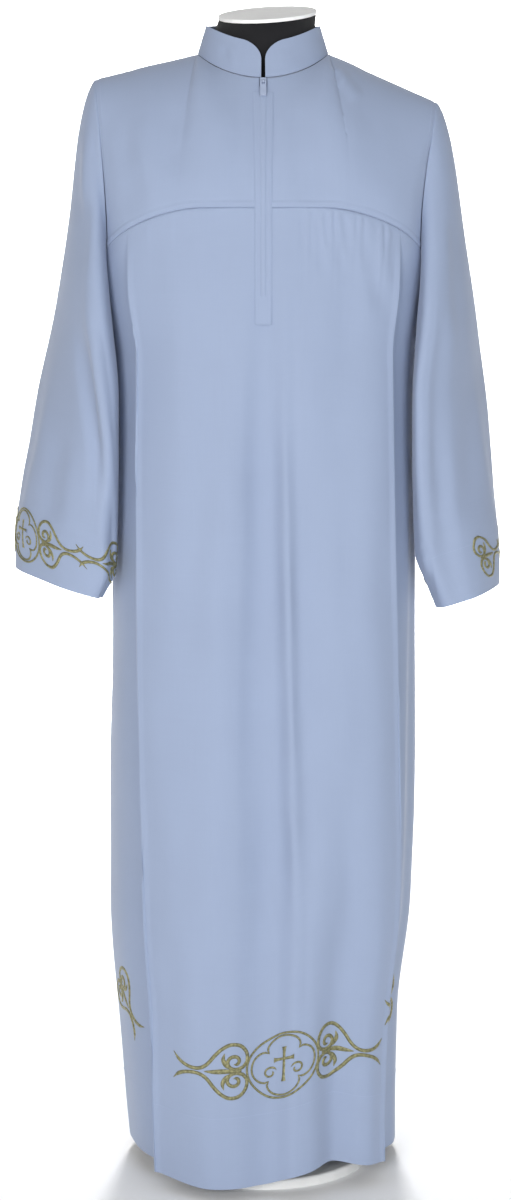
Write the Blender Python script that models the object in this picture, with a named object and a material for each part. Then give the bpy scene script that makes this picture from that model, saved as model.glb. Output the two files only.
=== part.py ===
"""Alb robe on a limbless dress form, at real size in metres, +Z up, front towards -Y.

The origin is the middle of the stand's underside. Every cloth piece is a wall with two faces, computed from
the garment's own sizes: sections of the body by height, folds by their place round the body, and rings down
each sleeve. "around" is a place round the body: 0 at the centre front, 1 at the side seam on the +X side,
2 or -2 at the centre back, and negative on the -X side.
"""

import math
from collections import namedtuple
from functools import lru_cache

import bmesh
import bpy
import numpy as np
from mathutils import Matrix, Vector

# ---------------------------------------------------------------- driving sizes
CLOTH = 0.0016  # wall of the plain-weave cloth, seam allowances included
COLLAR_CLOTH = 0.0022  # two layers and the stiffener between them
STRIP_CLOTH = 0.0012
GAP = 0.0003  # between pieces that are sewn or rest on each other
LONGEST_MITRE = 0.62  # limits how far a wall's inner point moves at a sharp fold
TURNED_BACK = 0.55  # cosine of half the widest angle over which two sheets share their rim's normals

# A sheet of cloth: its places round the body, its outer points in rows and columns, and their normals.
Sheet = namedtuple("Sheet", "columns grid normals closed")

SQUARENESS = 2.6  # of the body's plan: 2 is an ellipse
NECK_AROUND = 0.39  # the yoke's column that ends at the side of the neck
ARMHOLE_AROUND = 0.80  # the yoke's outermost column, along the armhole
UNDERARM_HEIGHT = 1.105
HALF_ARMHOLE = 0.12  # half its height

Section = namedtuple("Section", "height left right front back")
BODY_SECTIONS = [
    Section(0.010, 0.172, 0.172, 0.170, 0.160),
    Section(0.080, 0.179, 0.171, 0.168, 0.158),
    Section(0.190, 0.186, 0.174, 0.164, 0.154),
    Section(0.345, 0.196, 0.192, 0.159, 0.148),
    Section(0.470, 0.196, 0.196, 0.155, 0.143),
    Section(0.700, 0.193, 0.194, 0.148, 0.134),
    Section(0.850, 0.190, 0.193, 0.142, 0.127),
    Section(1.030, 0.188, 0.191, 0.131, 0.117),
    Section(1.105, 0.199, 0.200, 0.127, 0.113),
    Section(1.250, 0.203, 0.205, 0.120, 0.112),
]

# The hem's height round the body: it hangs a little uneven, as worn cloth does.
Hem = namedtuple("Hem", "around height")
HEM_LINE = [
    Hem(-2.0, 0.022),
    Hem(-1.3, 0.020),
    Hem(-0.75, 0.022),
    Hem(-0.3, 0.014),
    Hem(0.0, 0.016),
    Hem(0.20, 0.029),
    Hem(0.40, 0.035),
    Hem(0.62, 0.026),
    Hem(1.0, 0.018),
    Hem(1.5, 0.022),
    Hem(2.0, 0.022),
]

# Yoke seams: level across the middle, dropping to the armholes.
FRONT_SEAM_HEIGHT = 1.204
BACK_SEAM_HEIGHT = 1.212
SEAM_END_HEIGHT = 1.160
SEAM_LEVEL_SHARE = 0.35  # share of the seam, from the middle, that stays level

# Neckline: an ellipse in plan that dips at the front.
NECK_HALF_WIDTH = 0.0810
NECK_FRONT = 0.0770
NECK_BACK = 0.0710
NECK_FRONT_HEIGHT = 1.362
NECK_SIDE_HEIGHT = 1.400
NECK_BACK_HEIGHT = 1.412
SHOULDER_TIP = {-1: (0.206, 1.370), 1: (0.213, 1.3425)}  # side: distance from the middle, height

COLLAR_FRONT_HEIGHT = 0.044
COLLAR_SIDE_HEIGHT = 0.034
COLLAR_LEAN = 0.0135  # how far the top edge stands in from the neckline, at the front
COLLAR_FRONT_GAP = 0.0052
COLLAR_CORNER_WIDTH = 0.030
COLLAR_CORNER_DROP = 0.022
COLLAR_SHARES = [1.0, 0.66, 0.33, 0.0]

# Soft folds of the body, each a ridge (rise above 0) or a hollow (below 0) that runs from yoke to hem.
Fold = namedtuple("Fold", "name around_top around_hem rise_top rise_mid rise_hem spread_top spread_hem")
BODY_FOLDS = [
    Fold("centre hollow", -0.010, 0.040, 0.000, -0.008, -0.008, 0.09, 0.20),
    Fold("ridge right of the centre", 0.090, 0.160, 0.000, 0.004, 0.003, 0.05, 0.09),
    Fold("right front hollow", 0.400, 0.430, 0.000, -0.003, -0.024, 0.12, 0.21),
    Fold("left front swell", -0.350, -0.250, 0.000, 0.003, 0.009, 0.20, 0.30),
    Fold("right side hollow", 0.880, 0.860, 0.000, -0.004, -0.006, 0.07, 0.09),
    Fold("left back hollow", -1.250, -1.230, 0.000, -0.006, -0.010, 0.10, 0.12),
    Fold("left back ridge", -1.560, -1.540, 0.000, 0.006, 0.012, 0.08, 0.11),
    Fold("left of the centre back", -1.880, -1.860, 0.000, -0.007, -0.016, 0.10, 0.15),
    Fold("right of the centre back", 1.880, 1.820, 0.000, 0.005, 0.010, 0.08, 0.12),
    Fold("right back hollow", 1.640, 1.600, 0.000, -0.007, -0.012, 0.08, 0.11),
    Fold("right back ridge", 1.200, 1.210, 0.000, 0.004, 0.009, 0.07, 0.10),
]

# Pleats: the cloth nearer the middle ends in a folded edge, and what lies beyond it is set back.
Pleat = namedtuple("Pleat", "name around away set_back_top set_back_mid set_back_hem tuck run_out")
FRONT_PLEAT = 0.64
BODY_PLEATS = [
    Pleat("left front pleat", -FRONT_PLEAT, -1, 0.006, 0.020, 0.028, 0.004, 0.36),
    Pleat("right front pleat", FRONT_PLEAT, 1, 0.006, 0.012, 0.015, 0.003, 0.36),
    Pleat("left back pleat", -1.40, 1, 0.004, 0.012, 0.016, 0.003, 0.34),
    Pleat("right back pleat", 1.40, -1, 0.004, 0.012, 0.016, 0.003, 0.34),
]
PLEAT_EDGE = 0.006  # the folded edge's own width, in around
PLEAT_ROLL = 0.0022  # the edge stands this proud
PLEAT_ROLL_WIDTH = 8  # in edge widths
PLEAT_OPENS_OVER = 0.06  # drop below the seam in which a pleat opens
PLEAT_FADE = 0.85  # below 1 the set back part keeps its depth, above 1 it comes forward soon
TUCK_FADE = 6

# How far the front pleats lean towards +X, in around, by share of the skirt's length. The cloth between them
# leans along, and beyond them the lean fades out.
Lean = namedtuple("Lean", "share left right")
PLEAT_LEANS = [
    Lean(0.00, 0.00, 0.00),
    Lean(0.20, 0.00, 0.00),
    Lean(0.39, 0.02, 0.02),
    Lean(0.55, 0.04, 0.04),
    Lean(0.83, 0.07, 0.07),
    Lean(1.00, 0.04, 0.07),
]
LEAN_FADE = 0.28

# Gathers under the yoke seams: short waves that fade downwards.
Gathers = namedtuple("Gathers", "name start end count depth reach")
BODY_GATHERS = [
    Gathers("left front gathers", -0.56, -0.28, 4, 0.0016, 0.07),
    Gathers("right front gathers", 0.18, 0.60, 9, 0.0024, 0.12),
    Gathers("right back gathers", 1.48, 1.94, 7, 0.0024, 0.12),
    Gathers("left back gathers", -1.94, -1.48, 7, 0.0024, 0.12),
]
GATHER_RISE = 0.012  # drop below the seam at which a gather is deepest

# Rows down the skirt, as shares of each column's length.
SKIRT_ROWS = [0.0, 0.009, 0.032, 0.0874, 0.117, 0.19, 0.28, 0.38, 0.49, 0.61, 0.74, 0.87, 1.0]
ZIP_END_ROW = 3  # the slit and its tape end here
STRIP_END_ROW = 4  # and the strip over them here
YOKE_ROWS = [1.0, 0.93, 0.86, 0.72, 0.54, 0.36, 0.18, 0.0]  # from neckline or shoulder down to the seam
STRIP_TOP_ROW = 2
STRIP_HALF_AROUND = 0.039
ZIP_HALF_OPENING = 0.0048  # half the gap for the slider, above the strip
SLIT = 0.0006  # half a seam gap at the centre front, in around

# Places of the columns, from the centre to the side seam, apart from those of pleats and gathers.
CENTRE_COLUMNS = [SLIT, 0.02, STRIP_HALF_AROUND, 0.065, 0.09, 0.13]
LEFT_COLUMNS = [-0.23, -0.18]
SIDE_COLUMNS = [0.73, ARMHOLE_AROUND, 0.87, 0.93, 1.0]
BACK_SIDE_COLUMNS = [1.0, 1.07, 1.13, 2 - ARMHOLE_AROUND, 1.27, 1.33]

# Sleeves: rings down each one, as a height and the reach of the four sides. lean is how far the front
# stands nearer the body than the back, outer_rise how much higher the ring is on its outer side and
# forward how far the whole ring hangs in front of the shoulder.
Ring = namedtuple("Ring", "height inner outer front back lean outer_rise forward")
SLEEVE_RINGS = {
    -1: [
        Ring(0.730, 0.1970, 0.3180, 0.062, 0.068, 0.040, 0.034, 0.026),
        Ring(0.765, 0.1815, 0.3180, 0.068, 0.072, 0.046, 0.032, 0.028),
        Ring(0.848, 0.1785, 0.3090, 0.076, 0.080, 0.046, 0.020, 0.026),
        Ring(0.911, 0.1775, 0.2985, 0.082, 0.086, 0.045, 0.012, 0.022),
        Ring(0.974, 0.1775, 0.2895, 0.090, 0.090, 0.042, 0.004, 0.014),
        Ring(1.070, 0.1860, 0.2700, 0.096, 0.092, 0.030, 0.000, 0.000),
    ],
    1: [
        Ring(0.718, 0.2150, 0.3030, 0.064, 0.070, 0.022, 0.026, 0.020),
        Ring(0.745, 0.2040, 0.3035, 0.068, 0.074, 0.027, 0.024, 0.021),
        Ring(0.785, 0.1885, 0.3030, 0.072, 0.078, 0.034, 0.021, 0.021),
        Ring(0.848, 0.1850, 0.2970, 0.078, 0.084, 0.038, 0.015, 0.019),
        Ring(0.911, 0.1830, 0.2915, 0.084, 0.088, 0.040, 0.009, 0.016),
        Ring(0.974, 0.1825, 0.2865, 0.090, 0.090, 0.040, 0.004, 0.010),
        Ring(1.070, 0.1880, 0.2745, 0.094, 0.092, 0.030, 0.000, 0.000),
    ],
}
# Folds down a sleeve. turn is 0 at the underarm seam, 0.25 at the front, 0.5 outside, 0.75 at the back.
Drape = namedtuple("Drape", "name turn_top turn_cuff rise_top rise_mid rise_cuff spread")
SLEEVE_FOLDS = {
    -1: [
        Drape("front crease", 0.38, 0.14, 0.000, -0.006, -0.005, 0.06),
        Drape("front ridge", 0.30, 0.20, 0.002, 0.004, 0.002, 0.06),
        Drape("outer hollow", 0.55, 0.60, 0.000, -0.005, -0.002, 0.08),
        Drape("back crease", 0.72, 0.84, -0.003, -0.007, -0.004, 0.06),
    ],
    1: [
        Drape("front crease", 0.34, 0.28, -0.002, -0.005, -0.002, 0.06),
        Drape("front ridge", 0.22, 0.20, 0.002, 0.004, 0.002, 0.06),
        Drape("outer hollow", 0.55, 0.60, 0.000, -0.004, -0.002, 0.08),
        Drape("back crease", 0.74, 0.82, -0.003, -0.007, -0.004, 0.06),
    ],
}
CAP_ROWS = 7  # rings between the armhole seam and the first hanging ring
HANG_ROWS = 8  # rings from there to the cuff
CAP_SHALLOW = 18  # degrees below the horizontal at which the sleeve leaves the shoulder's tip
CAP_STEEP = 80  # and the underarm
CAP_LEAVE = 0.24  # how long it keeps to that direction, as a share of the cap's length
SLEEVE_COLUMN_STEP = 0.0175
SLEEVE_CLEARANCE = 0.0035  # between the sleeve's outer face and the body's
LOOP_ROOM = 0.007  # more than that where a belt loop stands between them
LOOP_ROOM_HEIGHT = 0.090  # and how far up, down and sideways that room fades out
LOOP_ROOM_WIDTH = 0.045
REACH_SAMPLES = 60
REACH_WINDOW = 0.006

# Belt loops at the side seams, at waist height.
LOOP_HEIGHT = 1.036
LOOP_LENGTH = 0.040
LOOP_WIDTH = 0.006
LOOP_SEWN = 0.0006  # its ends' distance from the seam
LOOP_STAND = 0.0050  # its middle's distance from there
LOOP_FLATNESS = 0.6  # below 1 it stands off more evenly
LOOP_SHARES = [0.0, 0.1, 0.25, 0.4, 0.6, 0.75, 0.9, 1.0]

# Zip: slider and pull tab, in the zip's own frame, along the slope of the cloth.
SLIDER_WIDTH = 0.0080
SLIDER_LENGTH = 0.0100
SLIDER_DEPTH = 0.0040
SLIDER_DROP = 0.30  # its place between the neckline and the strip's top
BAIL_WIDTH = 0.0020
BAIL_HOLE = 0.0026
BAIL_WALL = 0.0009
BAIL_DROP = 0.0015  # below the slider's middle
BAR = 0.0012  # the pull tab's top bar, square
TAB_WIDTH = 0.0075
TAB_LENGTH = 0.0210
EYE_WIDTH = 0.0036
EYE_LENGTH = 0.0042
METAL_BEVEL = 0.0006

# Dress form and stand. Below the yoke the form has its own sections, above it follows the cloth.
FORM_SQUARENESS = 2.3
FormRing = namedtuple("FormRing", "height half_width front back")
FORM_TORSO = [
    FormRing(0.760, 0.138, 0.092, 0.098),
    FormRing(0.775, 0.150, 0.102, 0.106),
    FormRing(0.850, 0.156, 0.105, 0.108),
    FormRing(0.930, 0.150, 0.100, 0.099),
    FormRing(1.010, 0.142, 0.098, 0.088),
    FormRing(1.090, 0.154, 0.104, 0.090),
    FormRing(1.145, 0.164, 0.106, 0.094),
]
FORM_AROUND = [0.0, 0.065, 0.13, 0.195, 0.26, 0.325, NECK_AROUND, 0.50, 0.60, 0.70, ARMHOLE_AROUND]
FORM_SIDE_SHARES = [0.25, 0.5, 0.75]  # of the way from the front of the armhole to its back
FORM_CLEARANCE = 0.0007  # under the cloth, along the shoulders
FORM_EASE = 0.018  # more than that at the yoke seam
FORM_NECK_EASE = 0.006  # and at the neckline's middle
FORM_INSET = 0.004  # its armhole's side stands in from the sleeve's seam
FORM_DOME = 0.008
FormNeck = namedtuple("FormNeck", "rise half_width front back")
FORM_NECK = [FormNeck(0.004, 0.0700, 0.0650, 0.0620), FormNeck(0.020, 0.0630, 0.0600, 0.0580)]
NECK_TOP = FormNeck(0.0, 0.0610, 0.0580, 0.0575)
NECK_TOP_HEIGHT = 1.446
NECK_TOP_SLOPE = 0.30  # rise per metre towards the back
NECK_TOP_TILT = 0.06  # and towards +X
NECK_TOP_SHIFT = 0.0055  # it stands this far to the +X side
NECK_CAP = 0.004
POLE_RADIUS = 0.0125
BASE_RADIUS = 0.140
BASE_THICKNESS = 0.012
BASE_BEVEL = 0.003

CLOTH_COLOUR = (0.47, 0.55, 0.72, 1.0)
FORM_COLOUR = (0.012, 0.012, 0.014, 1.0)
CAP_COLOUR = (0.85, 0.85, 0.84, 1.0)
ZIP_COLOUR = (0.62, 0.68, 0.80, 1.0)
STAND_COLOUR = (0.80, 0.80, 0.79, 1.0)


# ---------------------------------------------------------------- curves and tables
def smooth_through(knots, values, at):
    """The value at `at` on one smooth curve through the knots, without overshoot."""
    if at <= knots[0]:
        return values[0]
    if at >= knots[-1]:
        return values[-1]
    k = next(i for i in range(len(knots) - 1) if at <= knots[i + 1])
    rises = [(values[i + 1] - values[i]) / (knots[i + 1] - knots[i]) for i in range(len(knots) - 1)]

    def slope(i):
        if i in (0, len(knots) - 1):
            return rises[min(i, len(rises) - 1)]
        before, after = rises[i - 1], rises[i]
        return 0.0 if before * after <= 0 else 2 * before * after / (before + after)

    step = knots[k + 1] - knots[k]
    t = (at - knots[k]) / step
    return (
        (2 * t**3 - 3 * t**2 + 1) * values[k]
        + (t**3 - 2 * t**2 + t) * step * slope(k)
        + (3 * t**2 - 2 * t**3) * values[k + 1]
        + (t**3 - t**2) * step * slope(k + 1)
    )


def read_table(table, at, field):
    """A column of a table at any place between its rows. The first field is what the rows are placed by."""
    return smooth_through([row[0] for row in table], [getattr(row, field) for row in table], at)


def from_three(at, top, mid, low):
    """A size down a fold: its value at the top, half way and at the bottom."""
    return smooth_through([0.0, 0.5, 1.0], [top, mid, low], at)


def ease(t):
    """0 to 1, level at both ends."""
    t = min(1.0, max(0.0, t))
    return t * t * (3 - 2 * t)


def bump(distance, spread):
    """1 in the middle, 0 at `spread` to each side, level at both."""
    return 0.5 + 0.5 * math.cos(math.pi * min(1.0, abs(distance) / spread))


def hermite(start, end, leave, arrive, t):
    """A point on the curve from start to end that sets off along `leave` and comes in along `arrive`."""
    return (
        (2 * t**3 - 3 * t**2 + 1) * start
        + (t**3 - 2 * t**2 + t) * leave
        + (3 * t**2 - 2 * t**3) * end
        + (t**3 - t**2) * arrive
    )


def unit(v):
    return v / max(float(np.linalg.norm(v)), 1e-12)


# ---------------------------------------------------------------- the body below the yoke
def plan_point(angle, left, right, front, back, squareness):
    """A point of a rounded plan: angle 0 is the front, pi/2 the +X side, pi the back."""
    s, c = math.sin(angle), math.cos(angle)
    power = 2 / squareness
    width = right if s > 0 else left
    depth = front if c > 0 else back
    return np.array([math.copysign(abs(s) ** power * width, s), -math.copysign(abs(c) ** power * depth, c)])


def wrapped(around):
    """The same place round the body, written between -2 and 2."""
    return (around + 2) % 4 - 2


def split(around):
    """(side, distance from the centre front or back, whether it is at the back) of a place."""
    around = wrapped(around)
    place = abs(around)
    return (-1 if around < 0 else 1), min(place, 2 - place), place > 1


def quarter_lengths(depth):
    """Angles over a quarter turn and the share of the quarter's length that lies before each."""
    width = BODY_SECTIONS[-1].right
    angles = [math.pi / 2 * i / 400 for i in range(401)]
    points = [plan_point(a, width, width, depth, depth, SQUARENESS) for a in angles]
    steps = [0.0] + [float(np.linalg.norm(b - a)) for a, b in zip(points, points[1:])]
    along = np.cumsum(steps)
    return angles, along / along[-1]


FRONT_QUARTER = quarter_lengths(BODY_SECTIONS[-1].front)
BACK_QUARTER = quarter_lengths(BODY_SECTIONS[-1].back)


def angle_at(around):
    """The plan's angle at a place round the body."""
    side, from_middle, at_back = split(around)
    angles, shares = BACK_QUARTER if at_back else FRONT_QUARTER
    angle = float(np.interp(from_middle, shares, angles))
    return side * (math.pi - angle if at_back else angle)


def top_height(around):
    """Where the skirt ends upwards: at the yoke seam, and along the armhole from there to the underarm."""
    _, from_middle, at_back = split(around)
    seam = BACK_SEAM_HEIGHT if at_back else FRONT_SEAM_HEIGHT
    if from_middle <= ARMHOLE_AROUND:
        share = (from_middle / ARMHOLE_AROUND - SEAM_LEVEL_SHARE) / (1 - SEAM_LEVEL_SHARE)
        return seam + (SEAM_END_HEIGHT - seam) * max(0.0, share) ** 1.7
    share = (from_middle - ARMHOLE_AROUND) / (1 - ARMHOLE_AROUND)
    return SEAM_END_HEIGHT + (UNDERARM_HEIGHT - SEAM_END_HEIGHT) * share**0.8


def fold_rise(around, share):
    """How far the soft folds lift the cloth. share is the place down the skirt."""
    rise = 0.0
    for f in BODY_FOLDS:
        middle = f.around_top + (f.around_hem - f.around_top) * share
        spread = f.spread_top + (f.spread_hem - f.spread_top) * share
        rise += from_three(share, f.rise_top, f.rise_mid, f.rise_hem) * bump(wrapped(around - middle), spread)
    return rise


def gather_rise(around, drop):
    """Short waves under the seam, deepest a little below it."""
    rise = 0.0
    for g in BODY_GATHERS:
        if g.start < around < g.end:
            turns = (around - g.start) / (g.end - g.start) * g.count
            wave = 0.5 - 0.5 * math.cos(2 * math.pi * turns)
            rise += g.depth * wave * min(1.0, drop / GATHER_RISE) * math.exp(-drop / g.reach)
    return rise


def pleat_shift(around, share, drop):
    """(lift, slide) of the pleats: beyond its folded edge the cloth is set back and tucked under the edge."""
    lift = slide = 0.0
    opened = ease(drop / PLEAT_OPENS_OVER)
    for p in BODY_PLEATS:
        beyond = (around - p.around) * p.away
        depth = from_three(share, p.set_back_top, p.set_back_mid, p.set_back_hem) * opened
        if beyond <= 0:
            lift += PLEAT_ROLL * opened * bump(beyond, PLEAT_ROLL_WIDTH * PLEAT_EDGE)
        elif beyond < p.run_out:
            left = 1 - beyond / p.run_out
            lift -= depth * left**PLEAT_FADE
            slide -= p.away * p.tuck * opened * left**TUCK_FADE
    return lift, slide


def leaning(around, share):
    """Where the cloth of one place round the yoke seam hangs, further down."""
    left, right = (read_table(PLEAT_LEANS, share, field) for field in ("left", "right"))
    across = min(1.0, max(0.0, 0.5 + 0.5 * around / FRONT_PLEAT))
    beyond = max(0.0, abs(around) - FRONT_PLEAT)
    return around + (left + (right - left) * across) * (1 - ease(beyond / LEAN_FADE))


def body_point(around, height, share):
    """Outer face of the skirt at a place round the body. share runs from 0 at its top to 1 at the hem."""
    around = wrapped(around)
    place = leaning(around, share)
    sizes = [read_table(BODY_SECTIONS, height, field) for field in ("left", "right", "front", "back")]
    angle = angle_at(place)
    here = plan_point(angle, *sizes, SQUARENESS)
    step = 0.004
    along = unit(plan_point(angle + step, *sizes, SQUARENESS) - plan_point(angle - step, *sizes, SQUARENESS))
    outward = np.array([along[1], -along[0]])
    drop = top_height(around) - height
    lift, slide = pleat_shift(around, share, drop)
    lift += fold_rise(place, share) + gather_rise(around, drop)
    plan = here + outward * lift + along * slide
    return np.array([plan[0], plan[1], height])


def skirt_grid(columns):
    """Rows from the seam to the hem, one point for each column."""
    rows = []
    for share in SKIRT_ROWS:
        row = []
        for around in columns:
            top, hem = top_height(around), read_table(HEM_LINE, leaning(wrapped(around), 1.0), "height")
            row.append(body_point(around, top + (hem - top) * share, share))
        rows.append(row)
    return np.array(rows)


# ---------------------------------------------------------------- columns round the body
def gather_columns(name):
    """A column on each crest and in each hollow of one row of gathers."""
    g = next(g for g in BODY_GATHERS if g.name == name)
    return [g.start + (g.end - g.start) * i / (2 * g.count) for i in range(2 * g.count + 1)]


def pleat_columns(name):
    """Columns close to a pleat's folded edge."""
    p = next(p for p in BODY_PLEATS if p.name == name)
    steps = (-PLEAT_ROLL_WIDTH / 2, -1.5, 0.0, 1.0, 5.0)
    return sorted(p.around + p.away * step * PLEAT_EDGE for step in steps)


def meeting_neck(columns, neck):
    """The columns with the nearest one moved to where the shoulder seam meets the neckline."""
    nearest = min(columns, key=lambda around: abs(around - neck))
    return [neck if around == nearest else around for around in columns]


def front_columns():
    """From the -X side seam round the front to the +X one."""
    left = pleat_columns("left front pleat") + gather_columns("left front gathers") + LEFT_COLUMNS
    right = gather_columns("right front gathers") + pleat_columns("right front pleat")
    return (
        [-a for a in reversed(SIDE_COLUMNS)]
        + meeting_neck(left, -NECK_AROUND)
        + [-a for a in reversed(CENTRE_COLUMNS)]
        + CENTRE_COLUMNS
        + meeting_neck(right, NECK_AROUND)
        + SIDE_COLUMNS
    )


def back_columns():
    """From the +X side seam round the back to the -X one."""
    half = pleat_columns("right back pleat") + gather_columns("right back gathers")
    half = BACK_SIDE_COLUMNS + meeting_neck(half, 2 - NECK_AROUND)
    return half + [2.0] + [4 - a for a in reversed(half)]


# ---------------------------------------------------------------- the yoke
def neckline_point(angle):
    """The neckline at an angle: 0 is the front, pi/2 the +X side, pi the back."""
    c = math.cos(angle)
    x = NECK_HALF_WIDTH * math.sin(angle)
    if c >= 0:
        rise = (NECK_FRONT_HEIGHT - NECK_SIDE_HEIGHT) * c**1.6
        return np.array([x, -NECK_FRONT * c, NECK_SIDE_HEIGHT + rise])
    rise = (NECK_BACK_HEIGHT - NECK_SIDE_HEIGHT) * (-c) ** 1.2
    return np.array([x, -NECK_BACK * c, NECK_SIDE_HEIGHT + rise])


def neckline_angle(around):
    """The neckline's angle at the end of a yoke column."""
    side, from_middle, at_back = split(around)
    angle = math.pi / 2 * min(1.0, from_middle / NECK_AROUND)
    return side * (math.pi - angle if at_back else angle)


def shoulder_line(side):
    """The two ends of the shoulder seam: at the side of the neck and at the tip."""
    reach, height = SHOULDER_TIP[side]
    return neckline_point(side * math.pi / 2), np.array([side * reach, 0.0, height])


def shoulder_normal(side):
    """Square to the shoulder seam, upwards."""
    neck, tip = shoulder_line(side)
    return unit(np.array([side * (neck[2] - tip[2]), 0.0, abs(tip[0] - neck[0])]))


def yoke_top(around):
    """(point, share along the shoulder) at the end of a yoke column, on the neckline or the shoulder seam."""
    side, from_middle, _ = split(around)
    if from_middle <= NECK_AROUND + 1e-9:
        return neckline_point(neckline_angle(around)), 0.0
    share = (from_middle - NECK_AROUND) / (ARMHOLE_AROUND - NECK_AROUND)
    neck, tip = shoulder_line(side)
    return neck + (tip - neck) * share, share


def yoke_point(around, share):
    """Outer face of the yoke: share 0 is its lower seam, 1 its neckline or shoulder seam."""
    _, from_middle, at_back = split(around)
    to_back = 1 if at_back else -1
    bottom = body_point(around, top_height(around), 0.0)
    top, out = yoke_top(around)
    length = float(np.linalg.norm(top - bottom))
    flat = ease(from_middle / NECK_AROUND)  # 0 at the middle of the neckline, 1 beside the neck
    leave = unit(np.array([0.0, to_back * (0.06 + 0.20 * out), 1.0])) * length * 1.05
    arrive = unit(np.array([0.0, -to_back * (0.48 + 0.52 * flat), 0.88 * (1 - flat) + 0.10])) * length * 0.95
    return hermite(bottom, top, leave, arrive, share)


def yoke_grid(columns):
    return np.array([[yoke_point(around, share) for around in columns] for share in YOKE_ROWS])


# ---------------------------------------------------------------- walls of cloth
def directions(grid, axis, closed):
    """Unit directions along one axis of a grid, and how little it bends there: 1 is straight."""
    steps = np.diff(grid, axis=axis)
    if closed:
        steps = np.concatenate([steps, np.take(grid, [0], axis) - np.take(grid, [-1], axis)], axis)
    steps = steps / np.maximum(np.linalg.norm(steps, axis=2, keepdims=True), 1e-12)
    if closed:
        before, after = np.roll(steps, 1, axis), steps
    else:
        before = np.concatenate([np.take(steps, [0], axis), steps], axis)
        after = np.concatenate([steps, np.take(steps, [-1], axis)], axis)
    mean = (before + after) / 2
    straight = np.linalg.norm(mean, axis=2, keepdims=True)
    return mean / np.maximum(straight, 1e-12), straight


def grid_normals(grid, closed=False):
    """Outward normals of a grid whose rows run down and whose columns run round.

    At a fold they halve its angle and are longer, so that a wall offset by them keeps its thickness.
    """
    across, straight = directions(grid, 1, closed)
    down, _ = directions(grid, 0, False)
    normals = np.cross(down, across)
    normals /= np.maximum(np.linalg.norm(normals, axis=2, keepdims=True), 1e-12)
    return normals / np.clip(straight, LONGEST_MITRE, 1.0)


def make_sheet(columns, grid, closed=False):
    return Sheet(columns, grid, grid_normals(grid, closed), closed)


def rim_places(sheet):
    """(row, column) of every point on the sheet's edges."""
    rows, cols = sheet.grid.shape[:2]
    places = [(r, c) for r in (0, rows - 1) for c in range(cols)]
    if not sheet.closed:
        places += [(r, c) for r in range(1, rows - 1) for c in (0, cols - 1)]
    return places


def match_rims(sheets):
    """Give sheets that meet at a seam the same normals there, so that their cut edges stay parallel.

    Along a shoulder seam that is the seam's own normal. Where two sheets turn back on each other, as under
    the arm, each keeps its own.
    """
    meetings = {}
    for sheet in sheets:
        for place in rim_places(sheet):
            key = tuple(np.round(sheet.grid[place], 6))
            meetings.setdefault(key, []).append((sheet, place))
    for point, meeting in meetings.items():
        normals = [unit(sheet.normals[place]) for sheet, place in meeting]
        shared = unit(sum(normals))
        if abs(point[1]) < 1e-5 and point[2] > UNDERARM_HEIGHT + HALF_ARMHOLE:
            shared = shoulder_normal(math.copysign(1, point[0]))
        if min(float(np.dot(shared, normal)) for normal in normals) > TURNED_BACK:
            for sheet, place in meeting:
                sheet.normals[place] = shared


def trimmed(grid, sides):
    """The grid with the named sides drawn in by half a seam gap: top, bottom, first or last column."""
    out = grid.copy()
    edges = {
        "top": (np.s_[0], np.s_[1]),
        "bottom": (np.s_[-1], np.s_[-2]),
        "first": (np.s_[:, 0], np.s_[:, 1]),
        "last": (np.s_[:, -1], np.s_[:, -2]),
    }
    for side in sides:
        edge, next_in = edges[side]
        towards = out[next_in] - out[edge]
        out[edge] += towards / np.linalg.norm(towards, axis=-1, keepdims=True) * GAP / 2
    return out


def sewn_wall(name, material, sheet, sides, left_out=()):
    """A cloth piece from its sheet, drawn in at its sewn sides."""
    outer = trimmed(sheet.grid, sides)
    cloth_wall(name, material, outer, outer - sheet.normals * CLOTH, sheet.closed, left_out)


def cloth_wall(name, material, outer, inner, closed=False, left_out=()):
    """A closed solid between two grids of points. left_out lists (row, column) cells that stay open."""
    rows, cols = outer.shape[:2]
    count = rows * cols
    cells = {(r, c) for r in range(rows - 1) for c in range(cols if closed else cols - 1)} - set(left_out)
    flat = outer.reshape(-1, 3)
    faces = []
    for r, c in sorted(cells):
        ring = [r * cols + c, (r + 1) * cols + c, (r + 1) * cols + (c + 1) % cols, r * cols + (c + 1) % cols]
        a, b, d, e = (flat[i] for i in ring)
        first_diagonal = np.linalg.norm(a - d) <= np.linalg.norm(b - e)
        for t in ((0, 1, 2), (0, 2, 3)) if first_diagonal else ((0, 1, 3), (1, 2, 3)):
            faces.append([ring[i] for i in t])
            faces.append([ring[i] + count for i in reversed(t)])
        for side, (next_row, next_col) in enumerate([(r, c - 1), (r + 1, c), (r, c + 1), (r - 1, c)]):
            if (next_row, next_col % cols if closed else next_col) not in cells:
                p, q = ring[side], ring[(side + 1) % 4]
                faces.append([q, p, p + count])
                faces.append([q, p + count, q + count])
    return solid(name, material, np.concatenate([flat, inner.reshape(-1, 3)]), faces)


def solid(name, material, points, faces, weld=0.0):
    """One named object from points and faces, without loose points, shaded smooth but for its edges."""
    mesh = bpy.data.meshes.new(name)
    mesh.from_pydata([tuple(map(float, p)) for p in points], [], faces)
    bm = bmesh.new()
    bm.from_mesh(mesh)
    if weld:
        bmesh.ops.remove_doubles(bm, verts=bm.verts, dist=weld)
    bmesh.ops.delete(bm, geom=[v for v in bm.verts if not v.link_faces], context="VERTS")
    bm.to_mesh(mesh)
    bm.free()
    mesh.shade_smooth()
    mesh.set_sharp_from_angle(angle=math.radians(50))
    return placed(name, mesh, material)


def placed(name, mesh, material, frame=None):
    """An object in the scene, in its own frame if it has one."""
    mesh.materials.append(material)
    obj = bpy.data.objects.new(name, mesh)
    bpy.context.scene.collection.objects.link(obj)
    if frame is not None:
        obj.matrix_world = frame
    return obj


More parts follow.
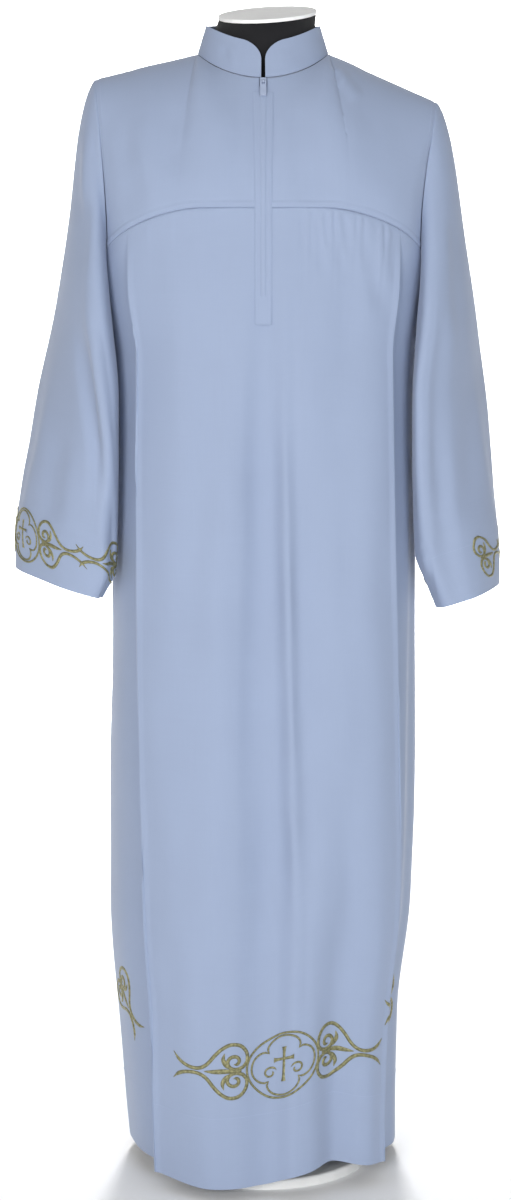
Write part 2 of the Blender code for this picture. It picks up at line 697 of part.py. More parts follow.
def make_material(name, colour, roughness, metallic=0.0):
    """A plain finish."""
    material = bpy.data.materials.new(name)
    material.use_nodes = True
    shader = material.node_tree.nodes["Principled BSDF"]
    shader.inputs["Base Color"].default_value = colour
    shader.inputs["Roughness"].default_value = roughness
    shader.inputs["Metallic"].default_value = metallic
    material.diffuse_color = colour
    return material


# ---------------------------------------------------------------- sleeves
def column_at(sheet, around):
    """The column of a sheet that stands at a place round the body."""
    return int(np.argmin([abs(wrapped(c - around)) for c in sheet.columns]))


def armhole_places(side, skirt_front, skirt_back, yoke_front, yoke_back):
    """(sheet, row, column) round one armhole, from the underarm up the front and down the back."""
    places = [(skirt_front, 0, column_at(skirt_front, side * a)) for a in (1.0, 0.93, 0.87)]
    column = column_at(yoke_front, side * ARMHOLE_AROUND)
    places += [(yoke_front, row, column) for row in reversed(range(len(YOKE_ROWS)))]
    column = column_at(yoke_back, side * (2 - ARMHOLE_AROUND))
    places += [(yoke_back, row, column) for row in range(1, len(YOKE_ROWS))]
    return places + [(skirt_back, 0, column_at(skirt_back, side * a)) for a in (1.13, 1.07)]


def subdivided(values, points):
    """Values round a loop, with each long stretch between its points divided evenly."""
    result = []
    for i in range(len(points)):
        j = (i + 1) % len(points)
        pieces = max(1, round(float(np.linalg.norm(points[j] - points[i])) / SLEEVE_COLUMN_STEP))
        result += [values[i] * (1 - k / pieces) + values[j] * k / pieces for k in range(pieces)]
    return np.array(result)


def loop_turns(points):
    """Each loop point's turn: its share of the way round, with the shoulder's tip at one half."""
    tip = int(np.argmax(points[:, 2]))
    steps = np.linalg.norm(np.roll(points, -1, axis=0) - points, axis=1)
    along = np.concatenate([[0.0], np.cumsum(steps)])
    up, whole = along[tip], along[-1]
    turns = []
    for i, distance in enumerate(along[:-1]):
        turns.append(0.5 * distance / up if i <= tip else 0.5 + 0.5 * (distance - up) / (whole - up))
    return turns


@lru_cache(maxsize=None)
def side_outline(side, millimetres):
    """Points of the body's outline round one side, at a height in whole millimetres."""
    height = millimetres / 1000
    share = (UNDERARM_HEIGHT - height) / UNDERARM_HEIGHT
    places = [side * (0.60 + 0.80 * i / REACH_SAMPLES) for i in range(REACH_SAMPLES + 1)]
    return np.array([body_point(around, height, share) for around in places])


def kept_clear(side, point):
    """The point, moved outwards if it is closer to the body's side than the sleeve's clearance."""
    outline = side_outline(side, round(1000 * min(point[2], UNDERARM_HEIGHT)))
    near = outline[np.abs(outline[:, 1] - point[1]) < REACH_WINDOW]
    if len(near):
        room = bump(point[2] - LOOP_HEIGHT, LOOP_ROOM_HEIGHT) * bump(point[1], LOOP_ROOM_WIDTH)
        clear = SLEEVE_CLEARANCE + LOOP_ROOM * room
        point[0] = side * max(abs(point[0]), float(np.abs(near[:, 0]).max()) + clear)
    return point


def sleeve_ring(side, turns, height, down):
    """One ring of the hanging sleeve. down is 0 at the first ring and 1 at the cuff."""
    size = {field: read_table(SLEEVE_RINGS[side], height, field) for field in Ring._fields[1:]}
    middle = (size["inner"] + size["outer"]) / 2
    half = math.sqrt(((size["outer"] - size["inner"]) / 2) ** 2 - size["lean"] ** 2)
    ring = []
    for turn in turns:
        angle = 2 * math.pi * turn
        to_front, to_body = math.sin(angle), math.cos(angle)
        depth = size["front"] if to_front > 0 else size["back"]
        rise = 0.0
        for f in SLEEVE_FOLDS[side]:
            place = f.turn_top + (f.turn_cuff - f.turn_top) * down
            apart = (turn - place + 0.5) % 1.0 - 0.5
            rise += from_three(down, f.rise_top, f.rise_mid, f.rise_cuff) * bump(apart, f.spread)
        outward = unit(np.array([-to_body / half, -to_front / depth]))
        x = middle - half * to_body - size["lean"] * to_front + outward[0] * rise
        y = -size["forward"] - depth * to_front + outward[1] * rise
        outwards = (x - size["inner"]) / (size["outer"] - size["inner"])
        point = np.array([side * x, y, height + size["outer_rise"] * min(1.0, max(0.0, outwards))])
        ring.append(kept_clear(side, point) if to_body > 0 else point)
    return np.array(ring)


def sleeve_grid(side, loop, turns):
    """Rings from the armhole seam to the cuff."""
    cuff, top = SLEEVE_RINGS[side][0].height, SLEEVE_RINGS[side][-1].height
    first = sleeve_ring(side, turns, top, 0.0)
    second = sleeve_ring(side, turns, top - 0.01, 0.01)
    rows = []
    for k in range(CAP_ROWS):
        row = []
        for start, end, below, turn in zip(loop, first, second, turns):
            length = float(np.linalg.norm(end - start))
            high = 0.5 - 0.5 * math.cos(2 * math.pi * turn)  # 0 at the underarm, 1 at the shoulder's tip
            steep = math.radians(CAP_STEEP + (CAP_SHALLOW - CAP_STEEP) * high**2)
            leave = np.array([side * math.cos(steep), 0.0, -math.sin(steep)]) * length * CAP_LEAVE
            row.append(hermite(start, end, leave, unit(below - end) * length, k / CAP_ROWS))
        rows.append(row)
    for k in range(HANG_ROWS + 1):
        down = k / HANG_ROWS
        rows.append(sleeve_ring(side, turns, top + (cuff - top) * down, down))
    return np.array(rows)


def seam_points(places):
    return np.array([sheet.grid[row, column] for sheet, row, column in places])


def make_sleeve_sheet(side, places):
    """The sleeve as a closed sheet whose first ring lies on the armhole's seam."""
    seam = seam_points(places)
    loop = subdivided(seam, seam)
    grid = sleeve_grid(side, loop, loop_turns(loop))
    return make_sheet([], grid[:, ::-1] if side < 0 else grid, closed=True)


def sew_sleeve(name, material, side, sheet, places):
    """The sleeve's solid. Between the seam's points its rim follows the panels' own straight edges."""
    seam = seam_points(places)
    rim = sheet.grid[0]
    own = [int(np.argmin(np.linalg.norm(rim - point, axis=1))) for point in seam]
    normals = subdivided(sheet.normals[0, own], seam)
    sheet.normals[0] = normals[::-1] if side < 0 else normals
    outer = sheet.grid.copy()
    outer[0] += unit(np.array([side * 1.0, 0.0, -0.35])) * GAP
    cloth_wall(name, material, outer, outer - sheet.normals * CLOTH, closed=True)


# ---------------------------------------------------------------- small cloth pieces
def collar_grid(neckline):
    """Rows from the top edge down to the neckline, with a rounded corner at each front edge."""
    steps = np.linalg.norm(neckline[1:] - neckline[:-1], axis=1)
    along = np.concatenate([[0.0], np.cumsum(steps)])
    from_edge = np.minimum(along, along[-1] - along)
    rows = []
    for share in COLLAR_SHARES:
        row = []
        for point, distance in zip(neckline, from_edge):
            before_corner = max(0.0, 1 - distance / COLLAR_CORNER_WIDTH)
            corner = 1 - math.sqrt(1 - before_corner**2)
            to_front = max(0.0, -point[1] / NECK_FRONT)
            full = COLLAR_SIDE_HEIGHT + (COLLAR_FRONT_HEIGHT - COLLAR_SIDE_HEIGHT) * to_front**1.5
            height = full - COLLAR_CORNER_DROP * corner
            inward = unit(np.array([-point[0], -point[1], 0.0])) * COLLAR_LEAN / COLLAR_FRONT_HEIGHT
            up = (inward + np.array([0.0, 0.0, 1.0])) * height
            row.append(point + np.array([0.0, 0.0, GAP]) + up * share)
        rows.append(row)
    return np.array(rows)


def make_collar(material, yoke_left, yoke_right, yoke_back):
    """The standing collar, from one front edge round the back to the other."""
    half = NECK_AROUND + 1e-9
    line = [p for p, a in zip(yoke_right.grid[0], yoke_right.columns) if a <= half]
    line += [p for p, a in zip(yoke_back.grid[0], yoke_back.columns) if 2 - half + 2e-9 < a < 2 + half - 2e-9]
    line += [p for p, a in zip(yoke_left.grid[0], yoke_left.columns) if -a <= half]
    neckline = np.array(line)
    neckline[0, 0], neckline[-1, 0] = COLLAR_FRONT_GAP / 2, -COLLAR_FRONT_GAP / 2
    grid = collar_grid(neckline)
    cloth_wall("collar", material, grid, grid - grid_normals(grid) * COLLAR_CLOTH)


def make_front_strip(material, skirt_front):
    """The strip over the zip and the tape behind it."""
    reach = [a for a in skirt_front.columns if abs(a) <= STRIP_HALF_AROUND + 1e-9]
    points = [[yoke_point(a, share) for a in reach] for share in YOKE_ROWS[:-1]]
    picked = [skirt_front.columns.index(a) for a in reach]
    points += [[skirt_front.grid[row, c] for c in picked] for row in range(STRIP_END_ROW + 1)]
    points = np.array(points)
    normals = grid_normals(points)
    face, out = points[STRIP_TOP_ROW:], normals[STRIP_TOP_ROW:]
    cloth_wall("front_strip", material, face + out * (GAP + STRIP_CLOTH), face + out * GAP)
    end = len(YOKE_ROWS) + ZIP_END_ROW
    face, out = points[:end], normals[:end]
    behind = CLOTH + GAP
    cloth_wall("zip_tape", material, face - out * behind, face - out * (behind + STRIP_CLOTH))


def make_belt_loop(name, side, material, skirt_front):
    """A narrow band that stands clear of the side seam between its two sewn ends."""
    upwards = skirt_front.grid[::-1, column_at(skirt_front, side)]
    outer, inner = [], []
    for share in LOOP_SHARES:
        height = LOOP_HEIGHT + LOOP_LENGTH * (0.5 - share)
        seam = np.array([np.interp(height, upwards[:, 2], upwards[:, axis]) for axis in range(3)])
        stand = LOOP_SEWN + LOOP_STAND * math.sin(math.pi * share) ** LOOP_FLATNESS
        ends = [seam + np.array([side * stand, edge * side * LOOP_WIDTH / 2, 0.0]) for edge in (-1, 1)]
        inner.append(ends)
        outer.append([p + np.array([side * STRIP_CLOTH, 0.0, 0.0]) for p in ends])
    cloth_wall(name, material, np.array(outer), np.array(inner))


# ---------------------------------------------------------------- zip
def block(name, size, centre, frame, material, bevel):
    """A box with softened edges, placed in a frame."""
    bm = bmesh.new()
    bmesh.ops.create_cube(bm, size=1.0)
    bmesh.ops.scale(bm, vec=size, verts=bm.verts)
    bmesh.ops.bevel(bm, geom=bm.edges[:], offset=bevel, segments=2, affect="EDGES", profile=0.5)
    bmesh.ops.translate(bm, vec=centre, verts=bm.verts)
    mesh = bpy.data.meshes.new(name)
    bm.to_mesh(mesh)
    bm.free()
    return placed(name, mesh, material, frame)


def round_bar(name, radius, width, centre, frame, material):
    """A short round bar along X."""
    bm = bmesh.new()
    turn = Matrix.Rotation(math.pi / 2, 4, "Y")
    bmesh.ops.create_cone(
        bm, cap_ends=True, segments=16, radius1=radius, radius2=radius, depth=width, matrix=turn
    )
    bmesh.ops.translate(bm, vec=centre, verts=bm.verts)
    mesh = bpy.data.meshes.new(name)
    bm.to_mesh(mesh)
    bm.free()
    return placed(name, mesh, material, frame)


def combine(obj, other, operation):
    """A Boolean on obj; the other object is only a guide."""
    modifier = obj.modifiers.new(operation.lower(), "BOOLEAN")
    modifier.operation = operation
    modifier.object = other
    modifier.solver = "EXACT"
    other.hide_render = True
    other.display_type = "WIRE"


def make_zip(material):
    """The slider with its bail, and the pull tab whose bar lies in the bail and is the tab's axis."""
    top, low = yoke_point(0.0, 1.0), yoke_point(0.0, YOKE_ROWS[STRIP_TOP_ROW])
    slope = math.atan2(top[1] - low[1], top[2] - low[2])
    origin = Matrix.Translation(Vector(top + (low - top) * SLIDER_DROP))
    frame = origin @ Matrix.Rotation(-slope, 4, "X")

    back = CLOTH  # a seam gap in front of the tape
    size = (SLIDER_WIDTH, SLIDER_DEPTH, SLIDER_LENGTH)
    slider = block("zip_slider", size, (0.0, back - SLIDER_DEPTH / 2, 0.0), frame, material, METAL_BEVEL)
    axis = (0.0, back - SLIDER_DEPTH - BAIL_HOLE / 2 - GAP, -BAIL_DROP)
    bail = round_bar("bail", BAIL_HOLE / 2 + BAIL_WALL, BAIL_WIDTH, axis, frame, material)
    hole = round_bar("bail_hole", BAIL_HOLE / 2, 3 * BAIL_WIDTH, axis, frame, material)
    combine(slider, bail, "UNION")
    combine(slider, hole, "DIFFERENCE")

    pivot = frame @ Matrix.Translation(axis)
    middle = (0.0, 0.0, (BAR - TAB_LENGTH) / 2)
    tab = block("zip_pull", (TAB_WIDTH, BAR, TAB_LENGTH), middle, pivot, material, BAR / 4)
    eye_middle = (0.0, 0.0, -(BAR + EYE_LENGTH) / 2)
    eye = block("pull_eye", (EYE_WIDTH, 4 * BAR, EYE_LENGTH), eye_middle, pivot, material, BAR / 4)
    combine(tab, eye, "DIFFERENCE")
    print("zip pull axis", [round(v, 6) for v in pivot.translation])


# ---------------------------------------------------------------- dress form and stand
def form_places():
    """Places round the form from the centre front, denser at the armholes' edges than the cloth's own."""
    sides = [ARMHOLE_AROUND + 2 * (1 - ARMHOLE_AROUND) * share for share in FORM_SIDE_SHARES]
    right = FORM_AROUND + sides + [2 - a for a in reversed(FORM_AROUND)]
    return right + [-a for a in reversed(right[1:-1])]


def form_quarter(side, at_back):
    """Columns of the form under one quarter of the yoke, each from the top down, by their place."""
    places = sorted(side * (2 - a if at_back else a) for a in FORM_AROUND)
    grid = np.array([[yoke_point(a, share) for a in places] for share in YOKE_ROWS[:-1]])
    normals = grid_normals(grid)
    columns = {}
    for c, around in enumerate(places):
        _, from_middle, _ = split(around)
        if from_middle > NECK_AROUND - 1e-6:
            normals[0, c] = shoulder_normal(side)
        column = []
        for r, share in enumerate(YOKE_ROWS[:-1]):
            clear = CLOTH + FORM_CLEARANCE + FORM_EASE * (1 - share) ** 1.5
            clear += FORM_NECK_EASE * (1 - ease(from_middle / NECK_AROUND))
            point = grid[r, c] - unit(normals[r, c]) * clear
            point[0] -= side * FORM_INSET * (from_middle / ARMHOLE_AROUND) ** 3
            column.append(point)
        columns[round(around, 6)] = column
    return columns


def form_grid():
    """Rows of the form from its lower edge to the shoulders' ridge, closed round."""
    columns = {}
    for side in (-1, 1):
        for at_back in (False, True):
            columns.update(form_quarter(side, at_back))
    places = form_places()
    rows = []
    for ring in FORM_TORSO:
        sizes = (ring.half_width, ring.half_width, ring.front, ring.back)
        row = [plan_point(angle_at(a), *sizes, FORM_SQUARENESS) for a in places]
        rows.append([[p[0], p[1], ring.height] for p in row])
    for r in reversed(range(len(YOKE_ROWS) - 1)):
        row = []
        for around in places:
            side, from_middle, _ = split(around)
            if from_middle <= ARMHOLE_AROUND + 1e-6:
                row.append(columns[round(around, 6)][r])
                continue
            to_back = (abs(around) - ARMHOLE_AROUND) / (2 - 2 * ARMHOLE_AROUND)
            front = columns[round(side * ARMHOLE_AROUND, 6)][r]
            back = columns[round(side * (2 - ARMHOLE_AROUND), 6)][r]
            dome = FORM_DOME * math.sin(math.pi * to_back) * (1 - YOKE_ROWS[r])
            row.append(front + (back - front) * to_back + np.array([side * dome, 0.0, 0.0]))
        rows.append(row)
    return places, rows


def neck_ring(places, ring, height=None):
    """Points round the form's neck. Their height follows the neckline, or the slope of the neck's top."""
    points = []
    for around in places:
        angle = neckline_angle(around)
        x = ring.half_width * math.sin(angle)
        y = -(ring.front if math.cos(angle) > 0 else ring.back) * math.cos(angle)
        if height is None:
            points.append([x, y, neckline_point(angle)[2] + ring.rise])
        else:
            points.append([x + NECK_TOP_SHIFT, y, height + NECK_TOP_SLOPE * y + NECK_TOP_TILT * x])
    return points


def make_form(material, cap_material):
    """A torso with shoulders and neck, closed below, and the pale cap on the neck's slanting top."""
    places, rows = form_grid()
    n = len(places)
    points = [p for row in rows for p in row]
    faces = [list(reversed(range(n)))]
    for k in range(len(rows) - 1):
        for i in range(n):
            j = (i + 1) % n
            faces.append([k * n + i, k * n + j, (k + 1) * n + j, (k + 1) * n + i])

    # The neck stands on the middle columns. Beside it, front and back meet and are welded.
    at_neck = [i for i, a in enumerate(places) if split(a)[1] <= NECK_AROUND + 1e-6]
    neck_places = [places[i] for i in at_neck]
    below = [(len(rows) - 1) * n + i for i in at_neck]
    rings = [neck_ring(neck_places, ring) for ring in FORM_NECK]
    rings.append(neck_ring(neck_places, NECK_TOP, NECK_TOP_HEIGHT))
    beside = [abs(split(a)[1] - NECK_AROUND) < 1e-6 for a in neck_places]
    for ring in rings:
        above = list(range(len(points), len(points) + len(ring)))
        points += ring
        for i in range(len(ring)):
            j = (i + 1) % len(ring)
            if not (beside[i] and beside[j]):
                faces.append([below[i], below[j], above[j], above[i]])
        below = above
    rim = []
    for v, a in zip(below, neck_places):
        _, from_middle, at_back = split(a)
        if not (at_back and abs(from_middle - NECK_AROUND) < 1e-6):
            rim.append(v)
    faces.append(rim)
    solid("form_torso", material, points, faces, weld=1e-5)

    outline = [a for a in neck_places if not (split(a)[2] and abs(split(a)[1] - NECK_AROUND) < 1e-6)]
    low = neck_ring(outline, NECK_TOP, NECK_TOP_HEIGHT + GAP)
    high = neck_ring(outline, NECK_TOP, NECK_TOP_HEIGHT + GAP + NECK_CAP)
    m = len(outline)
    sides = [[i, (i + 1) % m, m + (i + 1) % m, m + i] for i in range(m)]
    caps = [list(reversed(range(m))), list(range(m, 2 * m))]
    solid("form_neck_cap", cap_material, low + high, sides + caps)


def turned(name, material, radius, low, high, bevel=0.0):
    """A round bar or plate on the Z axis, its upper rim softened."""
    bm = bmesh.new()
    bmesh.ops.create_cone(bm, cap_ends=True, segments=36, radius1=radius, radius2=radius, depth=high - low)
    bmesh.ops.translate(bm, vec=(0, 0, (low + high) / 2), verts=bm.verts)
    if bevel:
        rim = [e for e in bm.edges if all(v.co.z > high - 1e-6 for v in e.verts)]
        bmesh.ops.bevel(bm, geom=rim, offset=bevel, segments=3, affect="EDGES", profile=0.5)
    mesh = bpy.data.meshes.new(name)
    bm.to_mesh(mesh)
    bm.free()
    mesh.shade_smooth()
    mesh.set_sharp_from_angle(angle=math.radians(40))
    return placed(name, mesh, material)


# ---------------------------------------------------------------- assembly
def make_yoke_sheets(front, back):
    """The front yoke's two halves, parted for the slider at the top, and the back yoke."""
    halves = {}
    for side in (-1, 1):
        columns = [a for a in front if 0 < a * side <= ARMHOLE_AROUND + 1e-9]
        grid = yoke_grid(columns)
        grid[:STRIP_TOP_ROW, -1 if side < 0 else 0, 0] = side * ZIP_HALF_OPENING
        halves[side] = make_sheet(columns, grid)
    columns = [a for a in back if 2 - ARMHOLE_AROUND - 1e-9 <= a <= 2 + ARMHOLE_AROUND + 1e-9]
    return halves, make_sheet(columns, yoke_grid(columns))


def make_robe(cloth):
    """All the cloth pieces that are sewn to each other."""
    front, back = front_columns(), back_columns()
    skirt_front = make_sheet(front, skirt_grid(front))
    skirt_back = make_sheet(back, skirt_grid(back))
    yokes, yoke_back = make_yoke_sheets(front, back)
    places = {side: armhole_places(side, skirt_front, skirt_back, yokes[side], yoke_back) for side in (-1, 1)}
    sleeves = {side: make_sleeve_sheet(side, places[side]) for side in (-1, 1)}
    match_rims([skirt_front, skirt_back, yokes[-1], yokes[1], yoke_back, sleeves[-1], sleeves[1]])

    slit_column = front.index(-SLIT)
    slit = [(row, slit_column) for row in range(ZIP_END_ROW)]
    sewn_wall("skirt_front", cloth, skirt_front, ("top", "first", "last"), slit)
    sewn_wall("skirt_back", cloth, skirt_back, ("top", "first", "last"))
    sewn_wall("yoke_front_left", cloth, yokes[-1], ("top", "bottom", "first"))
    sewn_wall("yoke_front_right", cloth, yokes[1], ("top", "bottom", "last"))
    sewn_wall("yoke_back", cloth, yoke_back, ("top", "bottom", "first", "last"))
    sew_sleeve("sleeve_left", cloth, -1, sleeves[-1], places[-1])
    sew_sleeve("sleeve_right", cloth, 1, sleeves[1], places[1])
    make_collar(cloth, yokes[-1], yokes[1], yoke_back)
    make_front_strip(cloth, skirt_front)
    make_belt_loop("belt_loop_left", -1, cloth, skirt_front)
    make_belt_loop("belt_loop_right", 1, cloth, skirt_front)


def main():
    for obj in list(bpy.data.objects):
        bpy.data.objects.remove(obj)
    make_robe(make_material("alb_cloth", CLOTH_COLOUR, 0.72))
    make_zip(make_material("zip_enamel", ZIP_COLOUR, 0.35))
    make_form(make_material("form_cover", FORM_COLOUR, 0.85), make_material("neck_cap", CAP_COLOUR, 0.4))
    stand = make_material("stand_metal", STAND_COLOUR, 0.35, 1.0)
    turned("stand_base", stand, BASE_RADIUS, 0.0, BASE_THICKNESS, BASE_BEVEL)
    turned("stand_pole", stand, POLE_RADIUS, BASE_THICKNESS + GAP, FORM_TORSO[0].height - GAP)
    bpy.context.view_layer.update()


main()
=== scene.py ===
"""Alb robe on a limbless dress form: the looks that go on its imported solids.

Laid out as a Blender add-on and run as a script. Everything is in metres, +Z up, front towards -Y.
"around" is a place round the body: 0 at the centre front, 1 at the side seam on the +X side, 2 or -2 at
the centre back, negative on the -X side. "share" runs from 0 at a panel's top edge to 1 at its hem.
"""

import math
from collections import namedtuple
from functools import lru_cache

import bmesh
import bpy
import numpy as np
from bpy.props import FloatProperty, FloatVectorProperty, PointerProperty
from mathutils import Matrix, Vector


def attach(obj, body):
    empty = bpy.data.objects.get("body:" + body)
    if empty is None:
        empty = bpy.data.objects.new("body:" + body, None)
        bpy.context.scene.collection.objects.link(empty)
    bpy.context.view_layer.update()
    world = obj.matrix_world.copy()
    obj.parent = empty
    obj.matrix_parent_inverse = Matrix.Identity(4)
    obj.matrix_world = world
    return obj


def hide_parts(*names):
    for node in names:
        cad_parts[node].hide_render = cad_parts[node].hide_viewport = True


bl_info = {
    "name": "Alb robe on a dress form",
    "version": (1, 0, 0),
    "blender": (4, 5, 0),
    "location": "View3D > Sidebar > Alb",
    "description": "Cloth, embroidery, closing and stand of a church alb",
    "category": "Object",
}

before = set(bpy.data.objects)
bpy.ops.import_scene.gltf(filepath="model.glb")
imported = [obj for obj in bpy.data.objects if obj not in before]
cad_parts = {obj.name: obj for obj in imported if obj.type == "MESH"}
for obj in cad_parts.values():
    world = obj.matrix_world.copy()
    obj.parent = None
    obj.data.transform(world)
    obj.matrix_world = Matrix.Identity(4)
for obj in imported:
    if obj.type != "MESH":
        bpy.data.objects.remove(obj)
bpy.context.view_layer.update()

# ---------------------------------------------------------------- the garment's sizes
GAP = 0.0003  # between pieces that are sewn together
SQUARENESS = 2.6  # of the body's plan: 2 is an ellipse
NECK_AROUND = 0.39  # the yoke's place that ends at the side of the neck
ARMHOLE_AROUND = 0.80  # the yoke's outer edge, along the armhole
UNDERARM_HEIGHT = 1.105

# Half sizes of the body by height: height, -X side, +X side, front, back.
SECTION = np.array([
    (0.010, 0.172, 0.172, 0.170, 0.160),
    (0.080, 0.179, 0.171, 0.168, 0.158),
    (0.190, 0.186, 0.174, 0.164, 0.154),
    (0.345, 0.196, 0.192, 0.159, 0.148),
    (0.470, 0.196, 0.196, 0.155, 0.143),
    (0.700, 0.193, 0.194, 0.148, 0.134),
    (0.850, 0.190, 0.193, 0.142, 0.127),
    (1.030, 0.188, 0.191, 0.131, 0.117),
    (1.105, 0.199, 0.200, 0.127, 0.113),
    (1.250, 0.203, 0.205, 0.120, 0.112),
])
# The hem's height by place round the body.
HEM_LINE = np.array([
    (-2.0, 0.022), (-1.3, 0.020), (-0.75, 0.022), (-0.3, 0.014), (0.0, 0.016), (0.20, 0.029),
    (0.40, 0.035), (0.62, 0.026), (1.0, 0.018), (1.5, 0.022), (2.0, 0.022),
])
FRONT_SEAM_HEIGHT = 1.204
BACK_SEAM_HEIGHT = 1.212
SEAM_END_HEIGHT = 1.160
SEAM_LEVEL_SHARE = 0.35  # share of the seam, from the middle, that stays level
SEAM_CURVE, UNDERARM_CURVE = 1.7, 0.8  # above 1 it drops late, below 1 it drops early

NECK_HALF_WIDTH = 0.0810
NECK_FRONT = 0.0770
NECK_BACK = 0.0710
NECK_FRONT_HEIGHT = 1.362
NECK_SIDE_HEIGHT = 1.400
NECK_BACK_HEIGHT = 1.412
NECK_FRONT_CURVE, NECK_BACK_CURVE = 1.6, 1.2  # above 1 its height changes late, near the middle
SHOULDER_TIP = {-1: (0.206, 1.370), 1: (0.213, 1.3425)}
YOKE_LEAVE, YOKE_ARRIVE = 1.05, 0.95  # how firmly it keeps to its directions at the seam and at the top

COLLAR_CLOTH = 0.0022  # two layers and the stiffener between them
COLLAR_FRONT_HEIGHT = 0.044
COLLAR_SIDE_HEIGHT = 0.034
COLLAR_CURVE = 1.5  # above 1 it keeps its side height further to the front
COLLAR_LEAN = 0.0135  # how far the top edge stands in from the neckline, at the front
COLLAR_FRONT_GAP = 0.0052
COLLAR_CORNER_WIDTH = 0.030
COLLAR_CORNER_DROP = 0.022
COLLAR_ROWS, COLLAR_COLUMNS, CORNER_COLUMNS = 18, 120, 22
NECK_POINTS = 56  # on each half of the neckline

CLOTH_WALL = 0.0016  # the solids' wall, seam allowances included
STRIP_CLOTH = 0.0012
TAPE_CLOTH = 0.0009
STRIP_HALF_AROUND = 0.039
STRIP_TOP_SHARE = 0.86  # of the yoke, from its seam up
STRIP_END_SHARE = 0.117  # of the skirt
TAPE_END_SHARE = 0.0874
STRIP_FOOT = 0.034  # length of the patch that is stitched down at its end
STRIP_RAISED = 0.0009  # its middle stands up this far, and its edges turn down as far
STRIP_GROOVE = 0.0003
STRIP_FOOT_EDGE = 0.0008
# Where the strip's slopes begin and how broad they are, as shares of its half width.
MIDDLE_SLOPE, TURNED_EDGE, FOOT_TURNED_EDGE = (0.20, 0.12), (0.74, 0.26), (0.78, 0.22)
GROOVE_MIDDLE, GROOVE_SPREAD = 0.34, 0.10
STRIP_COLUMNS, TAPE_COLUMNS = 25, 13
ROWS_OVER_YOKE, ROWS_OVER_SKIRT = 60, 56  # of the strip and of the tape
ZIP_HALF_OPENING = 0.0048  # half the gap for the slider, above the strip
HALF_SLIT = GAP / 2
OPENING_RUN = 0.07  # share of the yoke's height in which it widens
OPENING_FADE = 0.03  # distance from the centre over which the cloth gives way to the opening
BAND_WIDTH = 0.0062  # the turned-up seam allowance that is stitched down above the yoke seam
BAND_RISE = 0.0007
FOLD_WIDTH = 0.0012  # over which the band and the strip's foot step down
SEAM_DIP = 0.0009  # how far a sewn edge is drawn in
TEETH = 26  # on each side of the zip
TEETH_START = 0.0016  # below the tape's top edge
TOOTH_STEP = 0.0013
TOOTH_REACH = 0.0022  # from the zip's middle
TOOTH_PAST_MIDDLE = 1.15  # a tooth runs this many reaches, from its own side past the middle
TOOTH_HALF_WIDTHS = (0.0005, 0.0005, 0.0004, 0.0005, 0.0004)
TOOTH_HEIGHT = 0.0009

# Soft folds from yoke to hem: ridges rise, hollows fall.
Fold = namedtuple("Fold", "name around_top around_hem rise_top rise_mid rise_hem spread_top spread_hem")
BODY_FOLDS = [
    Fold("centre hollow", -0.010, 0.040, 0.000, -0.008, -0.008, 0.09, 0.20),
    Fold("ridge right of the centre", 0.090, 0.160, 0.000, 0.004, 0.003, 0.05, 0.09),
    Fold("right front hollow", 0.400, 0.430, 0.000, -0.003, -0.024, 0.12, 0.21),
    Fold("left front swell", -0.350, -0.250, 0.000, 0.003, 0.009, 0.20, 0.30),
    Fold("right side hollow", 0.880, 0.860, 0.000, -0.004, -0.006, 0.07, 0.09),
    Fold("left back hollow", -1.250, -1.230, 0.000, -0.006, -0.010, 0.10, 0.12),
    Fold("left back ridge", -1.560, -1.540, 0.000, 0.006, 0.012, 0.08, 0.11),
    Fold("left of the centre back", -1.880, -1.860, 0.000, -0.007, -0.016, 0.10, 0.15),
    Fold("right of the centre back", 1.880, 1.820, 0.000, 0.005, 0.010, 0.08, 0.12),
    Fold("right back hollow", 1.640, 1.600, 0.000, -0.007, -0.012, 0.08, 0.11),
    Fold("right back ridge", 1.200, 1.210, 0.000, 0.004, 0.009, 0.07, 0.10),
]
# Pleats: cloth nearer the middle ends in a folded edge, and what lies beyond it is set back.
Pleat = namedtuple("Pleat", "name around away set_back_top set_back_mid set_back_hem tuck run_out")
FRONT_PLEAT = 0.64
BACK_PLEAT = 1.40
BODY_PLEATS = [
    Pleat("left front pleat", -FRONT_PLEAT, -1, 0.006, 0.020, 0.028, 0.004, 0.36),
    Pleat("right front pleat", FRONT_PLEAT, 1, 0.006, 0.012, 0.015, 0.003, 0.36),
    Pleat("left back pleat", -BACK_PLEAT, 1, 0.004, 0.012, 0.016, 0.003, 0.34),
    Pleat("right back pleat", BACK_PLEAT, -1, 0.004, 0.012, 0.016, 0.003, 0.34),
]
PLEAT_EDGE = 0.0045  # the folded edge's own width, in around
PLEAT_ROLL = 0.0022  # the edge stands this proud
PLEAT_ROLL_WIDTH = 8  # in edge widths
PLEAT_OPENS_OVER = 0.06  # drop below the seam in which a pleat opens
PLEAT_FADE = 0.85  # below 1 the set back part keeps its depth, above 1 it comes forward soon
TUCK_FADE = 6
PLEAT_COLUMN_STEP = 0.0011  # from column to column over the folded edge
# How far the front pleats lean towards +X, by share of the skirt's length: share, left pleat, right pleat.
PLEAT_LEANS = np.array([
    (0.00, 0.00, 0.00), (0.20, 0.00, 0.00), (0.39, 0.02, 0.02),
    (0.55, 0.04, 0.04), (0.83, 0.07, 0.07), (1.00, 0.04, 0.07),
])
LEAN_FADE = 0.28

